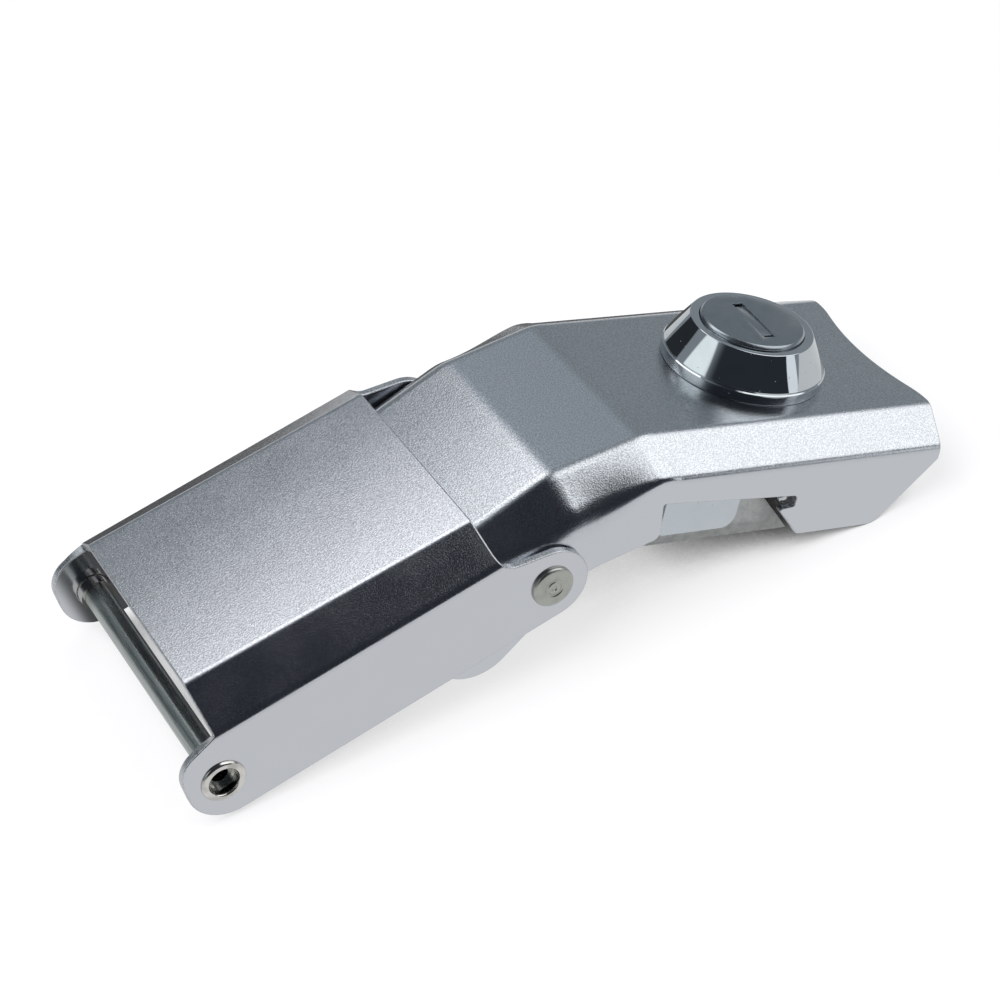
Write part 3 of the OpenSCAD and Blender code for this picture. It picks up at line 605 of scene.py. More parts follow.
@dataclass(frozen=True)
class MetalFinish:
    """A plated or bare metal surface.

    Attributes:
        name: Name of the material.
        colour: Reflected colour.
        shade: Colour of the darker spots.
        roughness: Mean roughness.
        texture: How the surface was worked.
        grain: Size of its grain, in millimetres.
        relief: Depth of its grain, in millimetres.
        wall_roughness: Roughness where the attribute "blast" is 0, on blasted sheets.
        turn: Direction of brushing, in the latch's frame.
    """

    name: str
    colour: Colour
    shade: Colour
    roughness: float
    texture: Texture = Texture.SMOOTH
    grain: float = 0.25
    relief: float = 0.01
    wall_roughness: float = 0.16
    turn: tuple[float, float, float] = (0.0, 1.0, 0.0)

    def material(self) -> bpy.types.Material:
        """Builds the finish, or returns it where it exists."""
        made = bpy.data.materials.get(self.name)
        if made:
            return made
        made = bpy.data.materials.new(self.name)
        made.use_nodes = True
        bench = NodeBench(made.node_tree)
        where = bench.add("ShaderNodeTexCoord").outputs["Object"]
        grain, rough, tone, relief = getattr(self, self.texture.name.lower())(bench, where)
        colour = bench.mix(tone, rgba(self.shade), rgba(self.colour))
        bump = bench.add("ShaderNodeBump", {"Strength": 1.0, "Distance": MM, "Height": bench.maths(
            "MULTIPLY", grain, relief)})
        shader = bench.add("ShaderNodeBsdfPrincipled", {
            "Metallic": 1.0, "Base Color": colour, "Roughness": rough, "Normal": bump.outputs[0]})
        bench.add("ShaderNodeOutputMaterial", {"Surface": shader.outputs[0]})
        return made

    def blasted(self, bench: NodeBench, where: object) -> tuple:
        """Pearly grain of blasted and chromed sheet, which fades out on smooth walls."""
        blast = bench.add("ShaderNodeAttribute", attribute_name="blast").outputs["Fac"]
        fine = bench.noise(where, self.grain, 2.0, 0.6)
        coarse = bench.noise(where, self.grain * 2.6, 1.0)
        waves = bench.noise(where, 14.0, 1.0)
        grain = bench.maths("ADD", fine, bench.maths("MULTIPLY", coarse, 0.12))
        grain = bench.maths("MULTIPLY", grain, blast)
        grain = bench.maths("ADD", grain, bench.maths("MULTIPLY", waves, 0.4))
        uneven = bench.ramp(bench.noise(where, 6.0, 3.0), 0.3, 0.7, -0.02, 0.02)
        rough = bench.ramp(blast, 0.0, 1.0, self.wall_roughness, self.roughness)
        tone = bench.ramp(fine, 0.38, 0.62, 0.0, 1.0)
        clean = bench.maths("SUBTRACT", 1.0, blast)
        return grain, bench.maths("ADD", rough, uneven), bench.maths("MAXIMUM", tone, clean), self.relief

    def smooth(self, bench: NodeBench, where: object) -> tuple:
        """Even plating with faint waves, and small pits and specks."""
        waves = bench.noise(where, 3.0, 2.0)
        specks = bench.add("ShaderNodeTexVoronoi", {"Vector": where, "Scale": 1 / (1.2 * MM)}).outputs[0]
        speck = bench.ramp(specks, 0.06, 0.1, 1.0, 0.0)
        wear = bench.noise(where, 2.0, 3.0)
        rough = bench.ramp(wear, 0.3, 0.7, self.roughness * 0.8, self.roughness * 1.2)
        rough = bench.maths("ADD", rough, bench.maths("MULTIPLY", speck, 0.45))
        grain = bench.maths("MULTIPLY", waves, 2.0)
        return grain, rough, bench.ramp(waves, 0.2, 0.6, 0.8, 1.0), self.relief

    def turned(self, bench: NodeBench, where: object) -> tuple:
        """Fine scratches and a slight grain, as on turned or pressed nickel."""
        fine = bench.noise(where, self.grain, 3.0, 0.6)
        stains = bench.noise(where, 1.6, 3.0)
        rough = bench.ramp(stains, 0.3, 0.7, self.roughness * 0.9, self.roughness * 1.1)
        return fine, rough, bench.ramp(stains, 0.3, 0.6), self.relief

    def sheared(self, bench: NodeBench, where: object) -> tuple:
        """Streaks and tears of a cut edge."""
        tears = bench.noise(where, self.grain, 3.0, 0.7, 0.6)
        rough = bench.ramp(tears, 0.3, 0.7, self.roughness * 0.6, self.roughness * 1.3)
        return tears, rough, bench.ramp(tears, 0.3, 0.55), self.relief

    def mottled(self, bench: NodeBench, where: object) -> tuple:
        """Cloudy patches of dull plating over a fine grain."""
        patches = bench.noise(where, 1.1, 4.0, 0.65, 0.4)
        fine = bench.noise(where, self.grain, 2.0)
        rough = bench.ramp(patches, 0.3, 0.7, self.roughness * 0.8, self.roughness * 1.25)
        grain = bench.maths("ADD", fine, patches)
        return grain, rough, bench.ramp(patches, 0.32, 0.62), self.relief

    def brushed(self, bench: NodeBench, where: object) -> tuple:
        """Fine parallel lines along one direction."""
        stretch = [1.0 if abs(c) < 0.5 else 0.04 for c in self.turn]
        mapped = bench.add("ShaderNodeMapping", {"Vector": where, "Scale": stretch,
                                                 "Rotation": (0.0, STAND.tilt, 0.0)}).outputs[0]
        lines = bench.noise(mapped, self.grain, 3.0, 0.6)
        rough = bench.ramp(lines, 0.3, 0.7, self.roughness * 0.8, self.roughness * 1.2)
        return lines, rough, bench.ramp(lines, 0.3, 0.6, 0.4, 1.0), self.relief


@dataclass(frozen=True)
class RubberFinish:
    """Moulded black rubber.

    Attributes:
        name: Name of the material.
        colour: Its colour.
    """

    name: str = "moulded rubber"
    colour: Colour = (0.03, 0.03, 0.032)

    def material(self) -> bpy.types.Material:
        """Builds the finish."""
        made = bpy.data.materials.new(self.name)
        made.use_nodes = True
        bench = NodeBench(made.node_tree)
        where = bench.add("ShaderNodeTexCoord").outputs["Object"]
        grain = bench.noise(where, 0.2, 3.0)
        bump = bench.add("ShaderNodeBump", {"Strength": 1.0, "Distance": 0.01 * MM, "Height": grain})
        colour = bench.mix(grain, rgba(self.colour), rgba(tuple(2 * c for c in self.colour)))
        shader = bench.add("ShaderNodeBsdfPrincipled", {
            "Base Color": colour, "Normal": bump.outputs[0],
            "Roughness": bench.ramp(grain, 0.3, 0.7, 0.5, 0.7)})
        bench.add("ShaderNodeOutputMaterial", {"Surface": shader.outputs[0]})
        return made


LINK_CHROME = MetalFinish("pearl chrome of the link", (0.61, 0.62, 0.65), (0.435, 0.445, 0.47), 0.18,
                          Texture.BLASTED, 0.2, 0.018, 0.14)
LEVER_CHROME = MetalFinish("pearl chrome of the lever", (0.61, 0.63, 0.66), (0.44, 0.455, 0.475), 0.2,
                           Texture.BLASTED, 0.21, 0.021, 0.14)
CUT_EDGE = MetalFinish("sheared edge", (0.62, 0.63, 0.65), (0.3, 0.31, 0.33), 0.3,
                       Texture.SHEARED, 0.16, 0.02)
AXLE_STEEL = MetalFinish("drawn tube", (0.44, 0.47, 0.45), (0.26, 0.28, 0.27), 0.28,
                         Texture.BRUSHED, 0.3, 0.006)
POLISHED_NICKEL = MetalFinish("polished nickel", (0.7, 0.68, 0.65), (0.5, 0.48, 0.45), 0.13,
                              Texture.TURNED, 0.3, 0.004)
SATIN_NICKEL = MetalFinish("satin nickel", (0.44, 0.45, 0.41), (0.38, 0.39, 0.35), 0.3,
                           Texture.TURNED, 0.2, 0.01)
BRONZE = MetalFinish("sintered bronze", (0.6, 0.42, 0.24), (0.4, 0.27, 0.15), 0.4,
                     Texture.TURNED, 0.15, 0.02)
GUIDE_STEEL = MetalFinish("smooth plated steel", (0.56, 0.6, 0.63), (0.46, 0.49, 0.52), 0.16, Texture.SMOOTH,
                          relief=0.004)
ZINC_STEEL = MetalFinish("zinc-plated steel", (0.55, 0.56, 0.59), (0.4, 0.41, 0.43), 0.35, Texture.MOTTLED,
                         0.25, 0.01)
MIRROR_CHROME = MetalFinish("mirror chrome", (0.54, 0.57, 0.59), (0.35, 0.36, 0.38), 0.04, Texture.SMOOTH,
                            relief=0.001)
PLUG_SATIN = MetalFinish("satin plug face", (0.33, 0.36, 0.385), (0.315, 0.345, 0.37), 0.24, Texture.TURNED,
                         0.12, 0.004)
BRASS = MetalFinish("stamped brass", (0.85, 0.62, 0.28), (0.6, 0.42, 0.18), 0.28,
                    Texture.BRUSHED, 0.2, 0.005)
SPRING_STEEL = MetalFinish("spring steel", (0.25, 0.26, 0.28), (0.14, 0.15, 0.16), 0.3,
                           Texture.TURNED, 0.2, 0.01)
BOLT_ZINC = MetalFinish("dull zinc of the bolt", (0.46, 0.47, 0.46), (0.34, 0.35, 0.35), 0.42,
                        Texture.MOTTLED, 0.2, 0.02)
RUBBER = RubberFinish()


# Meshes of single pieces

def piece(name: str, mesh: bpy.types.Mesh, body: str,
          replaces: Sequence[str]) -> bpy.types.Object:
    """Puts a finished mesh into the scene as a piece of one body.

    Args:
        name: Name of the piece.
        mesh: Its mesh, already in place.
        body: The body that it moves with.
        replaces: The CAD nodes that it stands for.

    Returns:
        The piece's object.
    """
    obj = bpy.data.objects.new(name, mesh)
    bpy.context.scene.collection.objects.link(obj)
    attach(obj, body)
    if replaces:
        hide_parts(*replaces)
    log.info("%s: %d faces on %s", name, len(mesh.polygons), body)
    return obj


def dress(node: str, finish: MetalFinish | RubberFinish) -> None:
    """Gives a CAD node its finish."""
    materials = frame["nodes"][node].data.materials
    materials.clear()
    materials.append(finish.material())
    log.info("%s: CAD node, %s", node, finish.name)


def softened(node: str, name: str, finish: MetalFinish | RubberFinish, edge: float, segments: int = 2,
             sharp: float = 35.0) -> bpy.types.Mesh:
    """Copies a CAD node's mesh with softened edges.

    Args:
        node: The node.
        name: Name of the new mesh.
        finish: Its finish.
        edge: Width of the softened edges in millimetres.
        segments: Faces across a softened edge.
        sharp: Edges that turn by more than this many degrees are softened.

    Returns:
        The plain mesh.
    """
    work = bmesh.new()
    work.from_mesh(frame["nodes"][node].data)
    bmesh.ops.remove_doubles(work, verts=work.verts, dist=0.002 * MM)
    bmesh.ops.dissolve_limit(work, angle_limit=math.radians(0.6), verts=work.verts, edges=work.edges)
    mesh = bpy.data.meshes.new(name)
    work.to_mesh(mesh)
    work.free()
    mesh.materials.clear()
    mesh.materials.append(finish.material())
    mesh.polygons.foreach_set("material_index", np.zeros(len(mesh.polygons), np.int32))
    carrier = bpy.data.objects.new(name, mesh)
    bpy.context.scene.collection.objects.link(carrier)
    bevel = carrier.modifiers.new("soft edges", "BEVEL")
    bevel.width = edge * MM
    bevel.segments = segments
    bevel.limit_method = "ANGLE"
    bevel.angle_limit = math.radians(sharp)
    return evaluated(carrier)


def drawn_in(mesh: bpy.types.Mesh) -> bpy.types.Mesh:
    """Moves what lines the lever's side walls in with them.

    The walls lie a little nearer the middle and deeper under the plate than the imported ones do.

    Args:
        mesh: The mesh, whose parts near the middle stay where they are.

    Returns:
        The same mesh.
    """
    co = corners_of(mesh)
    near_wall = smooth_step((np.abs(co[:, 1]) / MM - 15) / 2)
    along, above = SIZES.on_plate(SIZES.wall_s, SIZES.wall_h) - SIZES.second
    inward = -np.sign(co[:, 1]) * (SIZES.half - SIZES.lever_half)
    co += STAND.lay(np.stack([along * near_wall, inward * near_wall, above * near_wall], axis=1))
    mesh.vertices.foreach_set("co", co.ravel())
    mesh.update()
    return mesh


def evaluated(carrier: bpy.types.Object, smooth: float = 35.0) -> bpy.types.Mesh:
    """Turns an object with modifiers into a plain mesh and removes the object.

    Args:
        carrier: The object.
        smooth: Edges that turn by less than this many degrees are shaded smooth.

    Returns:
        The mesh.
    """
    graph = bpy.context.evaluated_depsgraph_get()
    mesh = bpy.data.meshes.new_from_object(carrier.evaluated_get(graph))
    name = carrier.name
    old = carrier.data
    bpy.data.objects.remove(carrier)
    bpy.data.meshes.remove(old)
    mesh.name = name
    mesh.polygons.foreach_set("use_smooth", np.ones(len(mesh.polygons), bool))
    mesh.set_sharp_from_angle(angle=math.radians(smooth))
    return mesh


class TurnedTree:
    """Geometry Nodes that turn a profile round Z and repeat the result along a line."""

    def __init__(self) -> None:
        """Builds the tree with its named inputs."""
        self.tree = bpy.data.node_groups.new("Turned and repeated", "GeometryNodeTree")
        face = self.tree.interface
        face.new_socket(name="Geometry", in_out="OUTPUT", socket_type="NodeSocketGeometry")
        kinds = {"Profile": "Geometry", "Profile points": "Int", "Segments": "Int", "Copies": "Int",
                 "First place": "Vector", "Step": "Vector", "Turn of each copy": "Vector",
                 "Finish": "Material"}
        self.inputs = {
            name: face.new_socket(name=name, in_out="INPUT", socket_type="NodeSocket" + kind).identifier
            for name, kind in kinds.items()}
        bench = NodeBench(self.tree)
        given = bench.add("NodeGroupInput").outputs
        points, segments = given["Profile points"], given["Segments"]
        grid = bench.add("GeometryNodeMeshGrid", {
            "Vertices X": bench.maths("ADD", segments, 1.0), "Vertices Y": points})
        index = bench.add("GeometryNodeInputIndex").outputs[0]
        row = bench.maths("FLOORED_MODULO", index, points)
        column = bench.maths("FLOOR", bench.maths("DIVIDE", bench.maths("ADD", index, 0.5), points))
        angle = bench.maths("DIVIDE", bench.maths("MULTIPLY", column, math.tau), segments)
        spot = bench.add("GeometryNodeInputPosition").outputs[0]
        sample = bench.add("GeometryNodeSampleIndex", data_type="FLOAT_VECTOR", domain="POINT")
        self.tree.links.new(given["Profile"], sample.inputs["Geometry"])
        self.tree.links.new(spot, sample.inputs["Value"])
        self.tree.links.new(row, sample.inputs["Index"])
        turned = bench.add("ShaderNodeVectorRotate", {"Vector": sample.outputs["Value"], "Angle": angle},
                           rotation_type="Z_AXIS")
        shaped = bench.add("GeometryNodeSetPosition", {"Geometry": grid.outputs["Mesh"],
                                                       "Position": turned.outputs[0]})
        closed = bench.add("GeometryNodeMergeByDistance", {"Geometry": shaped.outputs[0], "Distance": 1e-4})
        line = bench.add("GeometryNodeMeshLine", {
            "Count": given["Copies"], "Start Location": given["First place"], "Offset": given["Step"]},
            mode="OFFSET")
        scaled = bench.add("ShaderNodeVectorMath", {0: given["Turn of each copy"]}, operation="SCALE")
        self.tree.links.new(index, scaled.inputs["Scale"])
        rotation = bench.add("FunctionNodeEulerToRotation", {0: scaled.outputs[0]})
        copies = bench.add("GeometryNodeInstanceOnPoints", {
            "Points": line.outputs[0], "Instance": closed.outputs[0], "Rotation": rotation.outputs[0]})
        real = bench.add("GeometryNodeRealizeInstances", {"Geometry": copies.outputs[0]})
        finished = bench.add("GeometryNodeSetMaterial", {
            "Geometry": real.outputs[0], "Material": given["Finish"]})
        bench.add("NodeGroupOutput", {0: finished.outputs[0]})

    def make(self, name: str, profile: Sequence[Sequence[float]], finish: MetalFinish, segments: int = 96,
             copies: int = 1, first: Sequence[float] = (0, 0, 0), step: Sequence[float] = (0, 0, 0),
             turn: Sequence[float] = (0, 0, 0)) -> bpy.types.Mesh:
        """Turns a profile of (radius, height) points and repeats it.

        Args:
            name: Name of the mesh.
            profile: The profile, in millimetres.
            finish: Its finish.
            segments: Faces round the axis.
            copies: How many there are.
            first: Place of the first copy.
            step: Way from one copy to the next.
            turn: Turn of each copy from the one before, in radians.

        Returns:
            The mesh in millimetres, with its faces outwards.
        """
        mesh = bpy.data.meshes.new(name)
        edges = [(k, k + 1) for k in range(len(profile) - 1)]
        mesh.from_pydata([(r, 0.0, h) for r, h in profile], edges, [])
        carrier = bpy.data.objects.new(name, mesh)
        bpy.context.scene.collection.objects.link(carrier)
        modifier = carrier.modifiers.new("turned", "NODES")
        modifier.node_group = self.tree
        values = {"Profile points": len(profile), "Segments": segments, "Copies": copies,
                  "First place": tuple(map(float, first)), "Step": tuple(map(float, step)),
                  "Turn of each copy": tuple(map(float, turn)), "Finish": finish.material()}
        for key, value in values.items():
            modifier[self.inputs[key]] = value
        made = evaluated(carrier)
        face_out(made)
        return made


def face_out(mesh: bpy.types.Mesh) -> None:
    """Turns the faces of a closed mesh outwards."""
    work = bmesh.new()
    work.from_mesh(mesh)
    bmesh.ops.remove_doubles(work, verts=work.verts, dist=1e-4)
    bmesh.ops.recalc_face_normals(work, faces=work.faces)
    work.to_mesh(mesh)
    work.free()


def lay_mesh(mesh: bpy.types.Mesh, axes: np.ndarray, origin: Sequence[float]) -> bpy.types.Mesh:
    """Moves a millimetre mesh to its place in the latch and lays it into the shared frame.

    Args:
        mesh: The mesh.
        axes: Rows give its x, y and z axes in the latch's frame.
        origin: Its origin in the latch's frame.

    Returns:
        The same mesh.
    """
    placed = STAND.lay(corners_of(mesh) @ np.asarray(axes, float) + np.asarray(origin, float))
    mesh.vertices.foreach_set("co", placed.ravel())
    mesh.update()
    return mesh


def joined(meshes: Sequence[bpy.types.Mesh], name: str) -> bpy.types.Mesh:
    """Joins meshes into one, finishes and all."""
    work = bmesh.new()
    finishes: list[bpy.types.Material] = []
    for mesh in meshes:
        start = len(work.faces)
        work.from_mesh(mesh)
        work.faces.ensure_lookup_table()
        for f in work.faces[start:]:
            finish = mesh.materials[f.material_index]
            if finish not in finishes:
                finishes.append(finish)
            f.material_index = finishes.index(finish)
    result = bpy.data.meshes.new(name)
    for finish in finishes:
        result.materials.append(finish)
    work.to_mesh(result)
    work.free()
    for mesh in meshes:
        bpy.data.meshes.remove(mesh)
    result.set_sharp_from_angle(angle=math.radians(35))
    return result


ACROSS = np.array([[1.0, 0, 0], [0, 0, 1.0], [0, -1.0, 0]])
PLATE_DROP = math.radians(SIZES.plate_drop)
LOCK_AXES = np.array([[math.cos(PLATE_DROP), 0, -math.sin(PLATE_DROP)], [0, 1.0, 0],
                      [math.sin(PLATE_DROP), 0, math.cos(PLATE_DROP)]])
LOCK_AT = np.array([SIZES.on_plate(SIZES.lock_s, 0)[0], 0, SIZES.on_plate(SIZES.lock_s, 0)[1]])


# Sub-assemblies

@dataclass
class LinkCover:
    """Link: folded cover, its axle with eyelets, and the hinge rivets."""

    cover_top: float = 12.6
    cover_back: float = 1.3
    cover_front: float = 45.2
    cover_flat: float = 32.8
    facet_back: float = 4.9
    facet_front: float = 3.8
    bend: float = 1.9
    ear_reach: float = 5.25
    ear_depth: float = 6.7
    eyelet_d: float = 4.9
    eyelet_mouth: float = 4.3
    eyelet_rim: float = 6.5
    eyelet_rim_h: float = 0.5
    eyelet_collar: float = 2.90
    rod_d: float = 3.8
    rod_seat: float = 1.5
    rivet_face: Sequence[Sequence[float]] = (
        (0, 0.8), (0.1, 0.82), (0.14, 1), (0.3, 1), (0.335, 0.84), (0.38, 0.78), (0.43, 0.84), (0.47, 1),
        (0.62, 1), (0.8, 0.95), (0.9, 0.86), (0.96, 0.7), (0.995, 0.46), (1, 0.2), (0.985, 0))
    rivet_head_d: float = 6.2
    rivet_head_h: float = 0.7

    def build(self, turner: TurnedTree) -> None:
        """Builds and dresses the link's pieces."""
        self.build_cover()
        self.build_eyelets(turner)
        self.build_rivets(turner)
        dress("axle_rod", AXLE_STEEL)

    def sheet(self) -> FoldedSheet:
        """The folded sheet, whose facet tapers from the axle to the hinge."""
        def top(x: np.ndarray) -> tuple[np.ndarray, np.ndarray]:
            """Flat top."""
            return np.full(len(x), self.cover_top), np.zeros(len(x))

        def drop(x: np.ndarray) -> np.ndarray:
            """Depth of the facet."""
            f = (x - self.cover_back) / (self.cover_front - self.cover_back)
            return self.facet_back + f * (self.facet_front - self.facet_back)

        return FoldedSheet(top, lambda x: np.full(len(x), SIZES.half), drop, self.cover_flat / 2, self.bend,
                           lambda x: np.full(len(x), self.bend), SIZES.sheet)

    def side(self) -> np.ndarray:
        """Side outline from the cover's front edge round both ears to its back edge."""
        shoulder = self.cover_top - self.facet_back
        hinge = SIZES.hinge
        neck = (self.cover_front, shoulder, 3.0)
        low = (-self.ear_reach, -self.ear_depth, 6.2)
        ear = arc(hinge, SIZES.ear_r, touch(neck[:2], hinge, SIZES.ear_r, -1),
                  touch(low[:2], hinge, SIZES.ear_r, 1))
        corners = [(self.cover_back, self.cover_top + 1, 0), (self.cover_front, self.cover_top + 1, 0), neck,
                   *ear, low, (-self.ear_reach, shoulder - 2.4, 4.5), (self.cover_back, shoulder, 0.4)]
        return outline(corners)[2:]

    def build_cover(self) -> None:
        """Builds the folded cover."""
        sheet = self.sheet()
        side = densify(self.side(), 0.35)
        v = sheet.unfold(side[:, 0], side[:, 1])
        path = np.stack([side[:, 0], v], axis=1)
        start = np.array([[self.cover_front, 0.0], path[0]])
        end = np.array([path[-1], [self.cover_back, 0.0]])
        outer = np.vstack([densify(start, 0.25)[:-1], path, densify(end, 0.25)[1:]])
        holes = []
        for centre, d in (((0.0, 0.0), self.eyelet_d), (SIZES.hinge, SIZES.rivet_d)):
            ring = np.array(arc(centre, d / 2, 0, math.tau, 48))[:-1, :2]
            hole = np.stack([ring[:, 0], sheet.unfold(ring[:, 0], ring[:, 1])], axis=1)
            holes += [hole, hole * np.array([1, -1])]
        mesher = SheetMesher(sheet, outer, holes, list(np.arange(4.0, self.cover_front, 3.0)))
        mesh = mesher.mesh("link_cover_sheet", [LINK_CHROME.material(), CUT_EDGE.material()])
        piece("link_cover_sheet", mesh, "link", ["link_cover"])

    def build_eyelets(self, turner: TurnedTree) -> None:
        """Rolled eyelets in both axle ears, each with a shoulder round the rod's end."""
        mouth, rim, h = self.eyelet_mouth / 2, self.eyelet_rim / 2, self.eyelet_rim_h
        roll = [(rim - 0.55 + 0.55 * math.cos(t), h * math.sin(t)) for t in np.linspace(0, math.pi / 2, 7)]
        lip = [(mouth + 0.35 - 0.35 * math.sin(t), h - 0.35 + 0.35 * math.cos(t))
               for t in np.linspace(0, math.pi / 2, 7)]
        collar = self.eyelet_d / 2
        rod, seat, inner = self.rod_d / 2 + 0.02, -self.rod_seat - 0.02, -self.eyelet_collar
        profile = [(collar, -1.2), (collar, 0.0), *roll, *lip, (mouth, seat), (rod, seat), (rod, inner),
                   (collar, inner), (collar, -1.2)]
        half = SIZES.half
        mesh = turner.make("axle_eyelets", profile, POLISHED_NICKEL, 72, 2, (0, 0, half), (0, 0, -2 * half),
                           (math.pi, 0, 0))
        lay_mesh(mesh, ACROSS, (0, 0, 0))
        piece("axle_eyelets", mesh, "link", ["eyelet_near", "eyelet_far"])

    def build_rivets(self, turner: TurnedTree) -> None:
        """Hinge rivets with a ringed head outside and a clinched head inside.

        The outer head's face is given in shares of its radius and height, from its middle outwards.

        Args:
            turner: The lathe.
        """
        r, h = self.rivet_head_d / 2, self.rivet_head_h
        head = [(out * r, up * h) for out, up in self.rivet_face]
        shank, inner = SIZES.rivet_d / 2, SIZES.neck_half - SIZES.sheet - 0.6 - SIZES.half
        clinch = [(shank, 0.0), (shank, inner), (0.86 * r, inner), (0.92 * r, inner - 0.3),
                  (0.86 * r, inner - 0.72), (0.7 * r, inner - 0.9), (0, inner - 0.9)]
        half = SIZES.half
        mesh = turner.make("hinge_rivets", head + clinch, SATIN_NICKEL, 72, 2,
                           (0, 0, half), (0, 0, -2 * half), (math.pi, 0, 0))
        lay_mesh(mesh, ACROSS, (SIZES.hinge[0], 0, SIZES.hinge[1]))
        piece("hinge_rivets", mesh, "link", ["hinge_rivet_near", "hinge_rivet_far"])


@dataclass
class Lever:
    """Lever: folded sheet with neck, crest, lock plate and claws, and what it carries inside."""

    flat: float = 30.2
    bend: float = 3.0
    neck_bend: float = 6.5
    plate_bend: float = 2.0
    neck_rise: float = 8.8
    crest_r: float = 9.0
    neck_facet: float = 5.2
    plate_facet: float = 3.7
    plate_len: float = 50.3
    finger_hollow: float = 2.0
    hollow_half: float = 12.0
    end_slant: float = 1.3
    tail_r: float = 6.9
    tail_back: float = 12.1
    claw_depth: float = 15.8
    claw_tip: float = 22.0
    claw_len: float = 18.4
    claw_lean: float = 0.97
    tip_depth: float = 11.0
    undercut_w: float = 2.6
    undercut_h: float = 1.9
    throat_roof: float = 7.6
    throat_s: float = 1.6
    throat_low: float = 13.25

    def build(self, turner: TurnedTree) -> None:
        """Builds and dresses the lever's pieces."""
        self.build_shell()
        plates = [drawn_in(softened(f"guide_plate_{side}", f"plate_{side}", GUIDE_STEEL, 0.12, 3))
                  for side in ("near", "far")]
        piece("guide_plates", joined(plates, "guide_plates"), "lever",
              ["guide_plate_near", "guide_plate_far"])
        self.build_stops(turner)
        self.build_studs(turner)
        bracket = softened("lock_bracket", "lock_bracket_plate", ZINC_STEEL, 0.12)
        piece("lock_bracket_plate", bracket, "lever", ["lock_bracket"])
        for side in ("near", "far"):
            dress(f"pivot_bush_{side}", BRONZE)

    def bend_at(self, corner: np.ndarray, before: float, after: float) -> tuple[float, float, np.ndarray]:
        """Start, end and centre of the soft bend in a corner of the top line."""
        turn, mean = math.radians(before - after), math.radians((before + after) / 2)
        reach = self.crest_r * math.tan(turn / 2)
        centre = corner - self.crest_r / math.cos(turn / 2) * np.array([-math.sin(mean), math.cos(mean)])
        return (corner[0] - reach * math.cos(math.radians(before)),
                corner[0] + reach * math.cos(math.radians(after)), centre)

    def top(self, x: np.ndarray) -> tuple[np.ndarray, np.ndarray]:
        """Height and slope of the top line at x."""
        crest, second = SIZES.crest, SIZES.second
        slopes = [math.radians(a) for a in (self.neck_rise, -SIZES.crest_drop, -SIZES.plate_drop)]
        bends = [self.bend_at(crest, self.neck_rise, -SIZES.crest_drop),
                 self.bend_at(second, -SIZES.crest_drop, -SIZES.plate_drop)]
        lines = [(crest[1] + (x - crest[0]) * math.tan(slopes[0]), slopes[0]),
                 (crest[1] + (x - crest[0]) * math.tan(slopes[1]), slopes[1]),
                 (second[1] + (x - second[0]) * math.tan(slopes[2]), slopes[2])]
        height, slope = lines[0][0], np.full(len(x), slopes[0])
        for (start, end, centre), (line, angle) in zip(bends, lines[1:]):
            d = np.clip(x - centre[0], -self.crest_r + 0.01, self.crest_r - 0.01)
            on_bend, past = (x >= start) & (x < end), x >= end
            rise = centre[1] + np.sqrt(self.crest_r ** 2 - d * d)
            height = np.where(on_bend, rise, np.where(past, line, height))
            slope = np.where(on_bend, -np.arcsin(d / self.crest_r), np.where(past, angle, slope))
        return height, slope

    def half(self, x: np.ndarray) -> np.ndarray:
        """Half width, which is the same all along."""
        return np.full(len(x), SIZES.lever_half)

    def taper(self, x: np.ndarray) -> np.ndarray:
        """Rises from 0 on the neck to 1 on the plate, between the two bends."""
        start, end = SIZES.crest[0] + 2, SIZES.second[0] - 1
        return smooth_step((x - start) / (end - start))

    def drop(self, x: np.ndarray) -> np.ndarray:
        """Depth of the facet, which tapers between the two bends."""
        return self.neck_facet + (self.plate_facet - self.neck_facet) * self.taper(x)

    def low_bend(self, x: np.ndarray) -> np.ndarray:
        """Radius of the lower bend, which is wide on the neck and tight on the plate."""
        return self.neck_bend + (self.plate_bend - self.neck_bend) * self.taper(x)

    def side(self) -> np.ndarray:
        """Side outline from the plate's end round the claws, throat and tail to the neck's back."""
        hinge = np.array(SIZES.hinge)
        tail = hinge + [-self.tail_back, -3.1]
        back = (tail[0] - 2.6, hinge[1] + 6)
        pivot_r = SIZES.ear_r - 0.9
        floor = -2.8
        span = hinge - tail
        spread = math.asin((pivot_r - self.tail_r) / np.hypot(*span))
        under = math.atan2(span[1], span[0]) - spread - math.pi / 2

        def at(s: float, h: float, r: float) -> tuple[float, float, float]:
            """Corner given along and above the plate."""
            return (*SIZES.on_plate(s, h), r)

        end = self.claw_tip + self.undercut_w
        roof = -(self.tip_depth - self.undercut_h)
        corners = [
            at(self.plate_len + 3, 12, 0), at(self.plate_len + 3, -3.3, 0),
            at(self.plate_len - 1.1, -5.5, 1.5), at(self.claw_tip + self.claw_len, -self.claw_depth, 3),
            at(self.claw_tip + (self.claw_depth - self.tip_depth) * self.claw_lean, -self.claw_depth, 1.5),
            at(self.claw_tip, -self.tip_depth, 0.3), at(end, 0.3 - self.tip_depth, 0.3), at(end, roof, 0.3),
            at(self.throat_s, -self.throat_roof, 0.3), at(self.throat_s + 0.9, -self.throat_low, 1.5),
            (hinge[0] + 8.5, hinge[1] + floor - 0.3, 4),
            *arc(hinge, pivot_r, math.asin(floor / pivot_r), under),
            *arc(tail, self.tail_r, under, touch(back, tail, self.tail_r, 1) - math.tau),
            (*back, 0.6), (back[0], hinge[1] + 30, 0)]
        return outline(corners)[2:-1]

